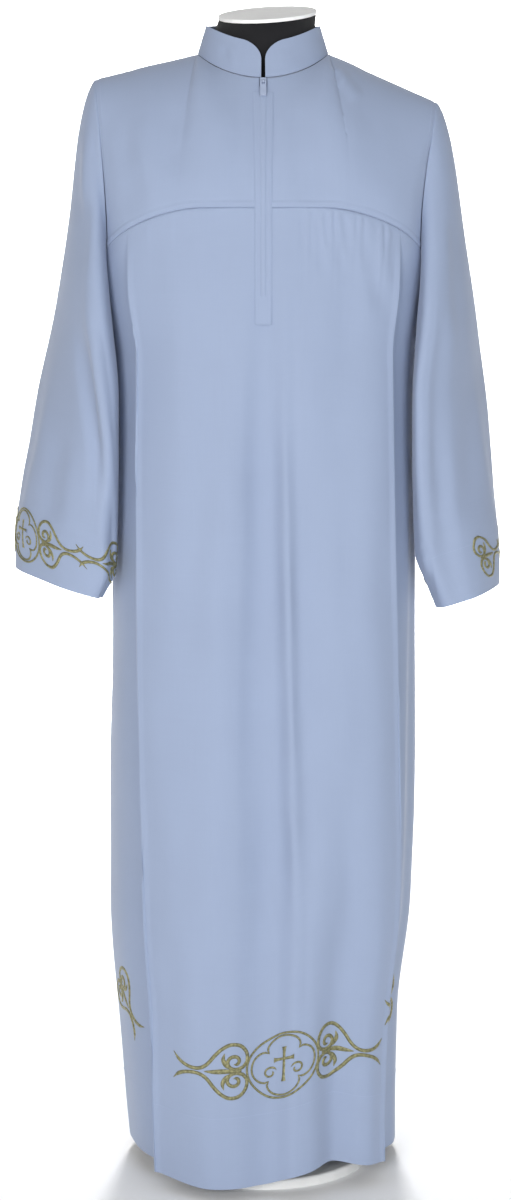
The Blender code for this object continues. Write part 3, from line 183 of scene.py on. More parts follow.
# Gathers under the yoke seams, uneven in width and depth.
Gathers = namedtuple("Gathers", "name start end count depth reach uneven")
BODY_GATHERS = [
    Gathers("left front gathers", -0.56, -0.28, 4, 0.0010, 0.030, 0.20),
    Gathers("right front gathers", 0.18, 0.60, 9, 0.0024, 0.035, 0.16),
    Gathers("right back gathers", 1.48, 1.94, 7, 0.0024, 0.12, 0.20),
    Gathers("left back gathers", -1.94, -1.48, 7, 0.0024, 0.12, 0.18),
]
GATHER_RISE = 0.012  # drop below the seam at which a gather is deepest

# Sleeve rings from the cuff up. Each row is a height, how far the inner and outer sides are from the
# robe's middle, how deep the front and back are, how far the front leans outwards, how much higher the
# outer side is, and how far forward the whole ring hangs.
RING_SIZES = ("inner", "outer", "front", "back", "lean", "outer_rise", "forward")
SLEEVE_RINGS = {
    -1: np.array([
        (0.730, 0.1970, 0.3180, 0.062, 0.068, 0.040, 0.034, 0.026),
        (0.765, 0.1815, 0.3180, 0.068, 0.072, 0.046, 0.032, 0.028),
        (0.848, 0.1785, 0.3090, 0.076, 0.080, 0.046, 0.020, 0.026),
        (0.911, 0.1775, 0.2985, 0.082, 0.086, 0.045, 0.012, 0.022),
        (0.974, 0.1775, 0.2895, 0.090, 0.090, 0.042, 0.004, 0.014),
        (1.070, 0.1860, 0.2700, 0.096, 0.092, 0.030, 0.000, 0.000),
    ]),
    1: np.array([
        (0.718, 0.2150, 0.3030, 0.064, 0.070, 0.022, 0.026, 0.020),
        (0.745, 0.2040, 0.3035, 0.068, 0.074, 0.027, 0.024, 0.021),
        (0.785, 0.1885, 0.3030, 0.072, 0.078, 0.034, 0.021, 0.021),
        (0.848, 0.1850, 0.2970, 0.078, 0.084, 0.038, 0.015, 0.019),
        (0.911, 0.1830, 0.2915, 0.084, 0.088, 0.040, 0.009, 0.016),
        (0.974, 0.1825, 0.2865, 0.090, 0.090, 0.040, 0.004, 0.010),
        (1.070, 0.1880, 0.2745, 0.094, 0.092, 0.030, 0.000, 0.000),
    ]),
}
# Folds down a sleeve. turn is 0 at the underarm seam, 0.25 at the front, 0.5 outside, 0.75 at the back.
Drape = namedtuple("Drape", "name turn_top turn_cuff rise_top rise_mid rise_cuff spread")
SLEEVE_FOLDS = {
    -1: [
        Drape("front crease", 0.38, 0.14, 0.000, -0.006, -0.005, 0.06),
        Drape("front ridge", 0.30, 0.20, 0.002, 0.004, 0.002, 0.06),
        Drape("outer hollow", 0.55, 0.60, 0.000, -0.005, -0.002, 0.08),
        Drape("back crease", 0.72, 0.84, -0.003, -0.007, -0.004, 0.06),
    ],
    1: [
        Drape("front crease", 0.34, 0.28, -0.002, -0.005, -0.002, 0.06),
        Drape("front ridge", 0.22, 0.20, 0.002, 0.004, 0.002, 0.06),
        Drape("outer hollow", 0.55, 0.60, 0.000, -0.004, -0.002, 0.08),
        Drape("back crease", 0.74, 0.82, -0.003, -0.007, -0.004, 0.06),
    ],
}
CAP_SHALLOW = 18  # degrees below the horizontal at which the sleeve leaves the shoulder's tip
CAP_STEEP = 80  # and the underarm
CAP_LEAVE = 0.24  # how long it keeps to that direction, as a share of the cap's length
SLEEVE_COLUMNS = 170
CAP_ROWS = 44  # between the armhole seam and the first hanging ring
HANG_ROWS = 84  # from there to the cuff
SLEEVE_CLEARANCE = 0.0035  # between the sleeve's outer face and the body's
REACH_LOWEST, REACH_DEEPEST = 0.69, 0.12  # how far down, and to the front and back, the body is measured
REACH_ROW, REACH_COLUMN = 0.006, 0.003  # and in what steps of height and depth
REACH_WINDOW = 0.006
REACH_PLACES, REACH_POINTS = (0.60, 1.40), 121  # the part of the body beside a sleeve
LOOP_ROOM = 0.007  # more than that where a belt loop stands between them
LOOP_ROOM_HEIGHT = 0.090  # and how far up, down and sideways that room fades out
LOOP_ROOM_WIDTH = 0.045
LOOP_HEIGHT = 1.036
LOOP_LENGTH = 0.040
LOOP_WIDTH = 0.006
LOOP_SEWN = 0.0006  # its ends' distance from the seam
LOOP_STAND = 0.0050  # its middle's distance from there
LOOP_FLATNESS = 0.6  # below 1 it stands off more evenly
LOOP_CROWN = 0.0004
LOOP_ROWS, LOOP_COLUMNS = 25, 9


# ---------------------------------------------------------------- curves
def smooth_through(knots, values, at):
    """Values at `at` on one smooth curve through the knots, without overshoot."""
    knots, values = np.asarray(knots, float), np.asarray(values, float)
    rises = np.diff(values) / np.diff(knots)
    slopes = np.concatenate([rises[:1], rises])
    before, after = rises[:-1], rises[1:]
    total = np.where(before * after > 0, before + after, 1.0)
    slopes[1:-1] = np.where(before * after > 0, 2 * before * after / total, 0.0)
    at = np.clip(at, knots[0], knots[-1])
    k = np.clip(np.searchsorted(knots, at, side="left") - 1, 0, len(knots) - 2)
    step = knots[k + 1] - knots[k]
    t = (at - knots[k]) / step
    return hermite(values[k], values[k + 1], step * slopes[k], step * slopes[k + 1], t)


def hermite(start, end, leave, arrive, t):
    """From start to end, setting off along `leave` and coming in along `arrive`."""
    return (
        (2 * t**3 - 3 * t**2 + 1) * start
        + (t**3 - 2 * t**2 + t) * leave
        + (3 * t**2 - 2 * t**3) * end
        + (t**3 - t**2) * arrive
    )


def from_three(at, top, mid, low):
    """A value that changes smoothly from the top over the middle to the foot."""
    return smooth_through([0.0, 0.5, 1.0], [top, mid, low], at)


def ease(t):
    """0 to 1, level at both ends."""
    t = np.clip(t, 0.0, 1.0)
    return t * t * (3 - 2 * t)


def past(place, start, width):
    """0 before the start, 1 from one width beyond it."""
    return ease((place - start) / width)


def bump(distance, spread):
    """1 in the middle, 0 at `spread` to each side, level at both."""
    return 0.5 + 0.5 * np.cos(np.pi * np.minimum(1.0, np.abs(distance) / spread))


def unit(v):
    return v / np.maximum(np.linalg.norm(v, axis=-1, keepdims=True), 1e-12)


def distances_along(line):
    """How far each point of a line is from its first, along the line."""
    return np.concatenate([[0.0], np.cumsum(np.linalg.norm(np.diff(line, axis=0), axis=1))])


def points_at(places, along, line):
    """Points of a line, by the distances `along` that belong to its own points."""
    return np.stack([np.interp(places, along, line[:, k]) for k in range(line.shape[1])], -1)


def graded(*stops):
    """Places from the first stop to the last, spaced by the step that stands beside each stop."""
    at = np.array([s[0] for s in stops])
    steps = np.array([s[1] for s in stops])
    fine = np.linspace(at[0], at[-1], 4000)
    density = np.cumsum(1 / np.interp(fine, at, steps)) * (fine[1] - fine[0])
    density -= density[0]
    return np.interp(np.linspace(0, density[-1], int(round(density[-1])) + 1), density, fine)


# ---------------------------------------------------------------- the body's outer face
def wrapped(around):
    """The same place, written from -2 to 2."""
    return (around + 2) % 4 - 2


def plan(angle, left, right, front, back):
    """A rounded plan: angle 0 is the front, pi/2 the +X side, pi the back."""
    s, c = np.sin(angle), np.cos(angle)
    power = 2 / SQUARENESS
    x = np.sign(s) * np.abs(s) ** power * np.where(s > 0, right, left)
    y = -np.sign(c) * np.abs(c) ** power * np.where(c > 0, front, back)
    return x, y


def split(around):
    """Side, distance from the centre front or back, and whether it is at the back."""
    around = wrapped(around)
    place = np.abs(around)
    return np.where(around < 0, -1, 1), np.minimum(place, 2 - place), place > 1


@lru_cache(maxsize=None)
def quarter_lengths(column):
    """Angles over a quarter turn and the share of its length before each."""
    width, depth = SECTION[-1, 2], SECTION[-1, column]
    angles = np.linspace(0, math.pi / 2, 401)
    x, y = plan(angles, width, width, depth, depth)
    along = np.concatenate([[0.0], np.cumsum(np.hypot(np.diff(x), np.diff(y)))])
    return angles, along / along[-1]


def angle_at(around):
    side, from_middle, at_back = split(around)
    front = np.interp(from_middle, quarter_lengths(3)[1], quarter_lengths(3)[0])
    back = np.interp(from_middle, quarter_lengths(4)[1], quarter_lengths(4)[0])
    return side * np.where(at_back, math.pi - back, front)


def top_height(around):
    """The skirt's top: the yoke seam, then along the armhole to the underarm."""
    _, from_middle, at_back = split(around)
    seam = np.where(at_back, BACK_SEAM_HEIGHT, FRONT_SEAM_HEIGHT)
    share = np.maximum(0.0, (from_middle / ARMHOLE_AROUND - SEAM_LEVEL_SHARE) / (1 - SEAM_LEVEL_SHARE))
    along_seam = seam + (SEAM_END_HEIGHT - seam) * share**SEAM_CURVE
    share = np.clip((from_middle - ARMHOLE_AROUND) / (1 - ARMHOLE_AROUND), 0.0, 1.0)
    under_arm = SEAM_END_HEIGHT + (UNDERARM_HEIGHT - SEAM_END_HEIGHT) * share**UNDERARM_CURVE
    return np.where(from_middle <= ARMHOLE_AROUND, along_seam, under_arm)


def fold_rise(around, share):
    """How far the soft folds lift the cloth."""
    rise = 0.0
    for f in BODY_FOLDS:
        middle = f.around_top + (f.around_hem - f.around_top) * share
        spread = f.spread_top + (f.spread_hem - f.spread_top) * share
        height = from_three(share, f.rise_top, f.rise_mid, f.rise_hem)
        rise = rise + height * bump(wrapped(around - middle), spread)
    return rise


def gather_rise(around, drop):
    """Gathers whose width, depth and reach change out of step with each other."""
    rise = 0.0
    for g in BODY_GATHERS:
        inside = (around > g.start) & (around < g.end)
        turns = (around - g.start) / (g.end - g.start) * g.count
        turns = turns + g.uneven * np.sin(2 * np.pi * turns * 0.37) * np.sin(np.pi * turns / g.count)
        wave = (0.5 - 0.5 * np.cos(2 * np.pi * turns)) * (0.8 + 0.35 * np.sin(2.3 * turns + g.start * 9))
        reach = g.reach * (0.75 + 0.35 * np.cos(1.7 * turns))
        rise = rise + inside * g.depth * wave * np.clip(drop / GATHER_RISE, 0, 1) * np.exp(-drop / reach)
    return rise


def pleat_shift(around, share, drop):
    """Lift and slide of the pleats, with a rounded folded edge."""
    lift, slide = 0.0, 0.0
    opened = ease(drop / PLEAT_OPENS_OVER)
    for p in BODY_PLEATS:
        beyond = (around - p.around) * p.away
        depth = from_three(share, p.set_back_top, p.set_back_mid, p.set_back_hem) * opened
        left = np.clip(1 - beyond / p.run_out, 0.0, 1.0) * (beyond > 0)
        over = ease(beyond / PLEAT_EDGE)
        lift = lift + PLEAT_ROLL * opened * bump(beyond, PLEAT_ROLL_WIDTH * PLEAT_EDGE) * (1 - over)
        lift = lift - depth * left**PLEAT_FADE * over
        slide = slide - p.away * p.tuck * opened * left**TUCK_FADE * over
    return lift, slide


def leaning(around, share):
    """Where the cloth of one place round the yoke seam hangs, further down."""
    left, right = (smooth_through(PLEAT_LEANS[:, 0], PLEAT_LEANS[:, k], share) for k in (1, 2))
    across = np.clip(0.5 + 0.5 * around / FRONT_PLEAT, 0.0, 1.0)
    beyond = np.maximum(0.0, np.abs(around) - FRONT_PLEAT)
    return around + (left + (right - left) * across) * (1 - ease(beyond / LEAN_FADE))


def body_points(around, height, share):
    """Outer face of the skirt, one point for each place and height."""
    around, height, share = np.broadcast_arrays(wrapped(around), height, share)
    place = leaning(around, share)
    sizes = [smooth_through(SECTION[:, 0], SECTION[:, k], height) for k in (1, 2, 3, 4)]
    angle = angle_at(place)
    x, y = plan(angle, *sizes)
    ahead, behind = plan(angle + 0.004, *sizes), plan(angle - 0.004, *sizes)
    along = unit(np.stack([ahead[0] - behind[0], ahead[1] - behind[1]], -1))
    drop = top_height(around) - height
    lift, slide = pleat_shift(around, share, drop)
    lift = lift + fold_rise(place, share) + gather_rise(around, drop)
    x = x + along[..., 1] * lift + along[..., 0] * slide
    y = y - along[..., 0] * lift + along[..., 1] * slide
    return np.stack([x, y, height], -1)


# ---------------------------------------------------------------- yoke
def neckline_point(angle):
    c, s = np.cos(angle), np.sin(angle)
    front = NECK_SIDE_HEIGHT + (NECK_FRONT_HEIGHT - NECK_SIDE_HEIGHT) * np.maximum(c, 0) ** NECK_FRONT_CURVE
    back = NECK_SIDE_HEIGHT + (NECK_BACK_HEIGHT - NECK_SIDE_HEIGHT) * np.maximum(-c, 0) ** NECK_BACK_CURVE
    y = -np.where(c >= 0, NECK_FRONT, NECK_BACK) * c
    return np.stack([NECK_HALF_WIDTH * s, y, np.where(c >= 0, front, back)], -1)


def neckline_angle(around):
    side, from_middle, at_back = split(around)
    angle = math.pi / 2 * np.minimum(1.0, from_middle / NECK_AROUND)
    return side * np.where(at_back, math.pi - angle, angle)


def yoke_points(around, share):
    """Outer face of the yoke: share 0 is its lower seam, 1 its neckline or shoulder seam.

    It rises almost straight up from the seam, and comes in steep at the neckline and level at the shoulder.
    """
    side, from_middle, at_back = split(around)
    to_back = np.where(at_back, 1.0, -1.0)
    bottom = body_points(around, top_height(around), 0.0)
    out = np.clip((from_middle - NECK_AROUND) / (ARMHOLE_AROUND - NECK_AROUND), 0, 1)
    neck_end = neckline_point(side * math.pi / 2)
    reach = np.where(side < 0, SHOULDER_TIP[-1][0], SHOULDER_TIP[1][0])
    height = np.where(side < 0, SHOULDER_TIP[-1][1], SHOULDER_TIP[1][1])
    tip = np.stack([side * reach, np.zeros_like(height), height], -1)
    on_shoulder = neck_end + (tip - neck_end) * out[..., None]
    at_neck = (from_middle <= NECK_AROUND)[..., None]
    top = np.where(at_neck, neckline_point(neckline_angle(around)), on_shoulder)
    length = np.linalg.norm(top - bottom, axis=-1, keepdims=True)
    flat = ease(from_middle / NECK_AROUND)
    zero = np.zeros_like(flat)
    leave = unit(np.stack([zero, to_back * (0.06 + 0.20 * out), zero + 1.0], -1)) * length * YOKE_LEAVE
    level = -to_back * (0.48 + 0.52 * flat)
    arrive = unit(np.stack([zero, level, 0.88 * (1 - flat) + 0.10], -1)) * length * YOKE_ARRIVE
    return hermite(bottom, top, leave, arrive, share[..., None])


# ---------------------------------------------------------------- panels of cloth
# u runs round the body and v down the cloth, both in metres along the cloth itself.
Panel = namedtuple("Panel", "grid normals u v closed")


def grid_normals(grid, closed):
    padded = np.concatenate([grid[:, -1:], grid, grid[:, :1]], 1) if closed else grid
    across = np.gradient(padded, axis=1)
    across = across[:, 1:-1] if closed else across
    return unit(np.cross(np.gradient(grid, axis=0), across))


def make_panel(grid, closed=False, u_zero=0):
    """A panel with its cloth coordinates: u is 0 at column u_zero, v is 0 at the hem, negative above it."""
    steps = np.linalg.norm(np.diff(grid, axis=1), axis=2)
    u = np.concatenate([np.zeros((len(grid), 1)), np.cumsum(steps, axis=1)], axis=1)
    u -= u[:, u_zero : u_zero + 1]
    steps = np.linalg.norm(np.diff(grid, axis=0), axis=2)
    v = np.concatenate([np.zeros((1, grid.shape[1])), np.cumsum(steps, axis=0)], axis=0)
    v -= v[-1:]
    return Panel(grid, grid_normals(grid, closed), u, v, closed)


def ring_length(panel):
    return panel.u[:, -1] - panel.u[:, 0] + np.linalg.norm(panel.grid[:, 0] - panel.grid[:, -1], axis=1)


def thrice(panel):
    """A closed panel laid out three times round, so that places may run over its seam."""
    turn = ring_length(panel)[:, None]
    around = [np.concatenate([f, f, f], 1) for f in (panel.grid, panel.normals, panel.v)]
    u = np.concatenate([panel.u - turn, panel.u, panel.u + turn], 1)
    return Panel(around[0], around[1], u, around[2], False)


def sample(field, row, col):
    """A field between the grid's points."""
    r = np.clip(np.floor(row).astype(int), 0, field.shape[0] - 2)
    c = np.clip(np.floor(col).astype(int), 0, field.shape[1] - 2)
    dr, dc = row - r, col - c
    if field.ndim == 3:
        dr, dc = dr[..., None], dc[..., None]
    upper = field[r, c] * (1 - dc) + field[r, c + 1] * dc
    lower = field[r + 1, c] * (1 - dc) + field[r + 1, c + 1] * dc
    return upper * (1 - dr) + lower * dr


LOCATE_STEPS = 14
LONGEST_STEP = 9  # in rows or columns


def stepped(place, step, count):
    """The place after one step of the search, kept inside the grid."""
    return np.clip(place - np.clip(step, -LONGEST_STEP, LONGEST_STEP), 0, count - 1.001)


def locate(panel, u, v):
    """Rows and columns where the cloth's own coordinates are u and v, by Newton's method."""
    rows, cols = panel.grid.shape[:2]
    row = np.interp(v, panel.v[:, cols // 2], np.arange(rows))
    col = np.interp(u, panel.u[int(np.clip(np.mean(row), 0, rows - 1))], np.arange(cols))
    u_down, u_across = np.gradient(panel.u)
    v_down, v_across = np.gradient(panel.v)
    for _ in range(LOCATE_STEPS):
        off_u, off_v = sample(panel.u, row, col) - u, sample(panel.v, row, col) - v
        a, b = sample(u_across, row, col), sample(u_down, row, col)
        c, d = sample(v_across, row, col), sample(v_down, row, col)
        det = np.maximum(a * d - b * c, 1e-9)
        col = stepped(col, (off_u * d - off_v * b) / det, cols)
        row = stepped(row, (off_v * a - off_u * c) / det, rows)
    return row, col


def on_cloth(panel, u, v, lift):
    """Points over the cloth at places u, v, standing `lift` off its face."""
    row, col = locate(panel, u, v)
    return sample(panel.grid, row, col) + unit(sample(panel.normals, row, col)) * np.asarray(lift)[..., None]


# ---------------------------------------------------------------- creases laid into the cloth
# A line of places (x, z) seen from the front or back, in millimetres, its half width and how far the cloth
# rises (above 0) or sinks (below 0) along it.
Crease = namedtuple("Crease", "line width rise")


def crease_rows(*rows):
    return [Crease(*row) for row in rows]


FRONT_CREASES = crease_rows(
    ([(-24, 1085), (-32, 976), (-40, 856), (-47, 760), (-52, 675), (-56, 541), (-62, 367), (-66, 200)],
     17, 6.0),
    ([(8, 1078), (6, 930), (8, 760), (10, 560), (14, 380), (20, 180)], 30, -8.0),
    ([(20, 1050), (24, 916), (29, 736), (32, 614), (36, 491), (45, 367), (53, 250)], 8, 5.5),
    ([(44, 1020), (52, 860), (56, 690), (60, 520), (66, 340)], 17, -5.0),
    ([(112, 1100), (116, 900), (120, 700), (122, 480), (124, 300)], 26, 4.0),
    ([(-176, 520), (-160, 367), (-149, 242), (-140, 128)], 11, -2.6),
    ([(-96, 1080), (-98, 900), (-104, 700), (-108, 500), (-104, 320)], 24, 2.6),
    ([(95, 425), (94, 320)], 7, 1.2),
    ([(104, 420), (103, 330)], 7, -1.0),
    ([(-96, 1180), (-99, 1059), (-104, 940), (-110, 784), (-115, 614)], 14, 1.3),
    ([(-69, 1180), (-71, 1059), (-76, 916), (-80, 736), (-82, 541)], 16, -1.3),
    ([(46, 1203), (47, 1185), (49, 1150)], 3.0, -1.2),
    ([(54, 1203), (56, 1180), (59, 1140)], 2.8, -1.3),
    ([(63, 1202), (66, 1176), (70, 1120)], 3.2, -1.5),
    ([(73, 1202), (76, 1180), (80, 1150)], 3.0, -1.4),
    ([(83, 1201), (87, 1172), (94, 1120)], 3.6, -1.4),
    ([(96, 1199), (100, 1176), (105, 1140)], 4.0, -1.3),
    ([(118, 1194), (127, 1160), (138, 1110), (150, 1062)], 7.0, -2.2),
    ([(128, 1190), (138, 1150), (148, 1100)], 8.0, 1.8),
    ([(-101, 1206), (-102, 1180), (-104, 1150)], 3.6, -1.1),
    ([(-87, 1205), (-87, 1180), (-88, 1160)], 3.6, -0.9),
    ([(79, 1082), (87, 952), (95, 784), (103, 590), (108, 417)], 16, -1.6),
    ([(120, 1060), (126, 900), (130, 720), (132, 520)], 15, 1.2),
    ([(57, 330), (68, 217), (73, 115), (73, 51)], 14, -1.6),
    ([(109, 367), (114, 242), (120, 115), (120, 51)], 13, 1.8),
    ([(-101, 467), (-97, 317), (-90, 166), (-83, 30)], 16, 1.5),
    ([(-71, 367), (-68, 217), (-61, 90), (-51, 20)], 15, -1.5),
    ([(-173, 1307), (-164, 1272), (-158, 1243), (-156, 1184)], 9, -2.8),
    ([(-150, 1318), (-143, 1280), (-139, 1240)], 11, 1.4),
    ([(214, 1302), (207, 1266), (201, 1231), (200, 1172)], 8, -2.6),
    ([(79, 1377), (93, 1370), (105, 1356)], 4.5, 2.4),
    ([(86, 1363), (103, 1352), (117, 1333)], 5.5, 2.2),
    ([(-40, 1337), (-49, 1296), (-61, 1249), (-70, 1208)], 14, 2.2),
    ([(32, 1337), (44, 1296), (53, 1249), (58, 1208)], 15, -2.2),
    ([(92, 1330), (104, 1290), (110, 1240), (112, 1206)], 16, 2.3),
    ([(-105, 1340), (-112, 1290), (-114, 1240)], 15, -2.0),
)
BACK_CREASES = crease_rows(
    ([(-60, 1206), (-64, 1120), (-66, 980), (-62, 820)], 13, 1.7),
    ([(-24, 1200), (-22, 1060), (-26, 880), (-34, 640), (-40, 420)], 17, -1.9),
    ([(12, 1206), (14, 1100), (20, 940), (26, 720), (22, 480)], 12, 1.8),
    ([(48, 1206), (52, 1110), (60, 960), (66, 760)], 14, -1.5),
    ([(96, 1180), (100, 1020), (108, 820), (112, 560), (108, 300)], 16, 1.6),
    ([(-104, 1160), (-110, 980), (-114, 760), (-112, 520)], 16, -1.5),
    ([(-84, 460), (-80, 300), (-86, 140), (-90, 40)], 15, 1.7),
    ([(60, 420), (54, 260), (52, 120), (56, 40)], 15, -1.7),
    ([(-10, 380), (-4, 220), (2, 60)], 13, 1.6),
    ([(-118, 1350), (-122, 1300), (-118, 1240)], 13, 1.3),
    ([(70, 1350), (78, 1300), (80, 1240)], 14, -1.3),
    ([(120, 1330), (126, 1280), (122, 1225)], 12, 1.4),
    ([(-56, 1360), (-60, 1300), (-56, 1235)], 14, -1.1),
)
# Sleeve creases, the same way: seen from the front first, then from the back.
SLEEVE_CREASES = {
    -1: (crease_rows(
        ([(-228, 1102), (-216, 1090), (-203, 1040), (-196, 973), (-192, 923), (-192, 841), (-193, 742)],
         5, 4.8),
        ([(-227, 1086), (-219, 1036), (-208, 963), (-200, 914), (-200, 820)], 7, -5.2),
        ([(-226, 1300), (-229, 1240), (-231, 1180)], 5, -2.6),
        ([(-212, 1310), (-217, 1250), (-220, 1190)], 5, 2.2),
        ([(-248, 939), (-256, 878), (-259, 816)], 9, -2.4),
        ([(-236, 926), (-242, 853), (-240, 790)], 10, 2.4),
        ([(-214, 1240), (-222, 1180), (-227, 1120)], 9, -2.7),
        ([(-240, 1230), (-246, 1150), (-250, 1060)], 10, 2.5),
        ([(-270, 980), (-282, 900), (-290, 830)], 9, 2.2),
    ), crease_rows(
        ([(-224, 1220), (-226, 1140), (-214, 1060), (-214, 960)], 9, -3.1),
        ([(-240, 1060), (-250, 960), (-262, 860)], 10, 2.7),
        ([(-226, 900), (-234, 830), (-240, 760)], 9, -2.5),
    )),
    1: (crease_rows(
        ([(202, 792), (206, 757), (212, 716)], 2.6, -1.8),
        ([(186, 794), (200, 800), (214, 793)], 4, 2.0),
        ([(188, 786), (200, 789), (212, 785)], 3, -1.4),
        ([(222, 1216), (224, 1144), (227, 1060), (228, 990)], 6, 2.9),
        ([(232, 1214), (236, 1140), (240, 1050)], 8, -2.9),
        ([(246, 1150), (250, 1080), (256, 987)], 9, 2.2),
        ([(216, 939), (222, 853), (230, 754)], 8, -2.0),
        ([(253, 951), (256, 878), (254, 816)], 9, -2.2),
        ([(268, 1010), (276, 930), (280, 850)], 9, 2.0),
    ), crease_rows(
        ([(224, 1210), (230, 1130), (222, 1050), (220, 950)], 9, -3.1),
        ([(244, 1080), (252, 980), (258, 880)], 10, 2.7),
        ([(228, 900), (238, 820), (244, 740)], 9, -2.4),
    )),
}
COLLAR_CREASES = crease_rows(
    ([(-50, 1405), (-46, 1388), (-43, 1370)], 4, -1.3),
    ([(-41, 1408), (-37, 1388), (-35, 1372)], 4, 0.9),
    ([(44, 1412), (46, 1390), (50, 1376)], 6, -0.9),
    ([(22, 1400), (24, 1382), (27, 1370)], 7, 0.7),
)
# Slow unevenness of hung cloth. All but phase are in metres.
Wave = namedtuple("Wave", "across down phase height")
UNEVENNESS = [
    Wave(0.083, 0.61, 0.4, 0.0008),
    Wave(0.121, 0.83, 2.1, 0.0010),
    Wave(0.047, 0.35, 4.0, 0.0004),
    Wave(0.230, 0.27, 1.2, 0.0007),
]
WAVE_TURN = 1.7  # how much further a wave's phase is turned down the cloth than across it
# Inward creases fade out between these heights, because the cloth lies on the form above them.
SHALLOW_AT_SHOULDER = (1.30, 1.36)
STRIP_FOOT_HEIGHT = 1.070  # creases keep away from the strip above this
STRIP_MARGIN = 0.013  # creases begin this far from the centre front
STRIP_FADE = 0.030  # and have their full depth this much further out
CREASE_UNEVEN = 0.15  # share of its depth that comes and goes along it
CREASE_WIDENS = 0.5  # how much wider a crease is at its lower end
CREASE_END = 0.30  # share of a crease's length over which it rises from nothing
CREASE_FADE = 0.0040  # distance from a sewn edge over which creases fade
YOKE_CREASE_FADE = 0.012
SLEEVE_CREASE_FADE = 0.020
COLLAR_CREASE_REACH = 0.62  # of the collar's height, to each side of its middle
FACING_GAIN = 2.5  # creases have their full depth where the cloth faces within 66 degrees of straight on
FAR = 9.0  # metres, further than any point is from a crease


def crease_rise(points, creases):
    """How far the creases lift or sink each point, by its distance from their lines as seen along Y."""
    rise = np.zeros(points.shape[:-1])
    seen = points[..., [0, 2]]
    for crease in creases:
        line = np.array(crease.line) / 1000
        width = crease.width / 1000
        lengths = np.linalg.norm(np.diff(line, axis=0), axis=1)
        starts = np.concatenate([[0.0], np.cumsum(lengths)])
        nearest = np.full(rise.shape, FAR)
        place = np.zeros(rise.shape)
        for k, length in enumerate(lengths):
            way = (line[k + 1] - line[k]) / length
            t = np.clip((seen - line[k]) @ way, 0.0, length)
            apart = np.linalg.norm(seen - line[k] - t[..., None] * way, axis=-1)
            place = np.where(apart < nearest, starts[k] + t, place)
            nearest = np.minimum(nearest, apart)
        ends = np.minimum(place, starts[-1] - place) / starts[-1]
        uneven = 1 - CREASE_UNEVEN + CREASE_UNEVEN * np.sin(40 * place + line[0, 0] * 90)
        strength = ease(ends / CREASE_END) * uneven
        spread = width * (1.0 + CREASE_WIDENS * place / starts[-1])
        rise += crease.rise / 1000 * strength * bump(nearest, 2 * spread)
    return rise


def creased(panel, front, back, u_zero=0, fade=CREASE_FADE, sewn_foot=False):
    """The panel with creases and slow unevenness, which fade out towards its sewn edges and the strip."""
    x, z, facing = panel.grid[..., 0], panel.grid[..., 2], panel.normals[..., 1]
    rise = crease_rise(panel.grid, front) * np.clip(-FACING_GAIN * facing, 0, 1)
    rise += crease_rise(panel.grid, back) * np.clip(FACING_GAIN * facing, 0, 1)
    for wave in UNEVENNESS:
        across = np.sin(2 * np.pi * x / wave.across + wave.phase)
        rise += wave.height * across * np.sin(2 * np.pi * z / wave.down + WAVE_TURN * wave.phase)
    low, high = SHALLOW_AT_SHOULDER
    rise = np.where(rise < 0, rise * (1 - ease((z - low) / (high - low))), rise)
    rise *= ease(-(panel.v[0] - panel.v) / fade)
    if sewn_foot:
        rise *= ease(-panel.v / fade)
    from_strip = np.where(z > STRIP_FOOT_HEIGHT, np.abs(x), 1.0)
    rise *= np.where(facing < -0.5, ease((from_strip - STRIP_MARGIN) / STRIP_FADE), 1.0)
    return make_panel(panel.grid + panel.normals * rise[..., None], panel.closed, u_zero)


def column_of(arounds, place):
    return int(np.argmin(np.abs(arounds - place)))


def pleat_steps(place, away, base):
    """Stops for `graded` that make the columns fine over a pleat's folded edge."""
    near = sorted([place - away * 0.03, place - away * 0.002, place + away * 0.008, place + away * 0.04])
    steps = (base, PLEAT_COLUMN_STEP, PLEAT_COLUMN_STEP, base)
    return list(zip(near, steps))


def front_arounds():
    """Places of the front's columns, closer together over pleats and gathers."""
    stops = [(-1.0, 0.012)] + pleat_steps(-FRONT_PLEAT, -1, 0.010)
    stops += [(-0.28, 0.009), (0.0, 0.009), (0.18, 0.006), (0.58, 0.0065)]
    stops += pleat_steps(FRONT_PLEAT, 1, 0.0075) + [(1.0, 0.012)]
    return snapped(graded(*stops), (-ARMHOLE_AROUND, -NECK_AROUND, 0.0, NECK_AROUND, ARMHOLE_AROUND))


def back_arounds():
    """Places of the back's columns, the same on both sides of its middle."""
    stops = [(1.0, 0.013)] + pleat_steps(BACK_PLEAT, -1, 0.010)
    stops += [(1.48, 0.009), (1.94, 0.009), (2.0, 0.012)]
    half = snapped(graded(*stops), (2 - ARMHOLE_AROUND, 2 - NECK_AROUND, 2.0))
    return np.concatenate([half, 4 - half[-2::-1]])


def snapped(places, wanted):
    """The places with the nearest one moved onto each wanted place."""
    places = places.copy()
    for place in wanted:
        places[column_of(places, place)] = place
    return places


SKIRT_SHARES = graded((0.0, 0.0010), (0.015, 0.0022), (0.10, 0.0055), (0.30, 0.0085), (1.0, 0.0085))
YOKE_SHARES = graded((0.0, 0.006), (0.03, 0.008), (0.2, 0.014), (0.9, 0.014), (1.0, 0.009))[::-1]


def skirt_grid(arounds):
    top = top_height(arounds)
    hem = smooth_through(HEM_LINE[:, 0], HEM_LINE[:, 1], leaning(wrapped(arounds), 1.0))
    shares = SKIRT_SHARES[:, None]
    return body_points(arounds[None], top + (hem - top) * shares, shares)


@lru_cache(maxsize=None)
def skirt_panel(name):
    arounds = front_arounds() if name == "skirt_front" else back_arounds()
    middle = column_of(arounds, 0.0 if name == "skirt_front" else 2.0)
    panel = make_panel(skirt_grid(arounds), u_zero=middle)
    return creased(panel, FRONT_CREASES, BACK_CREASES, u_zero=middle)


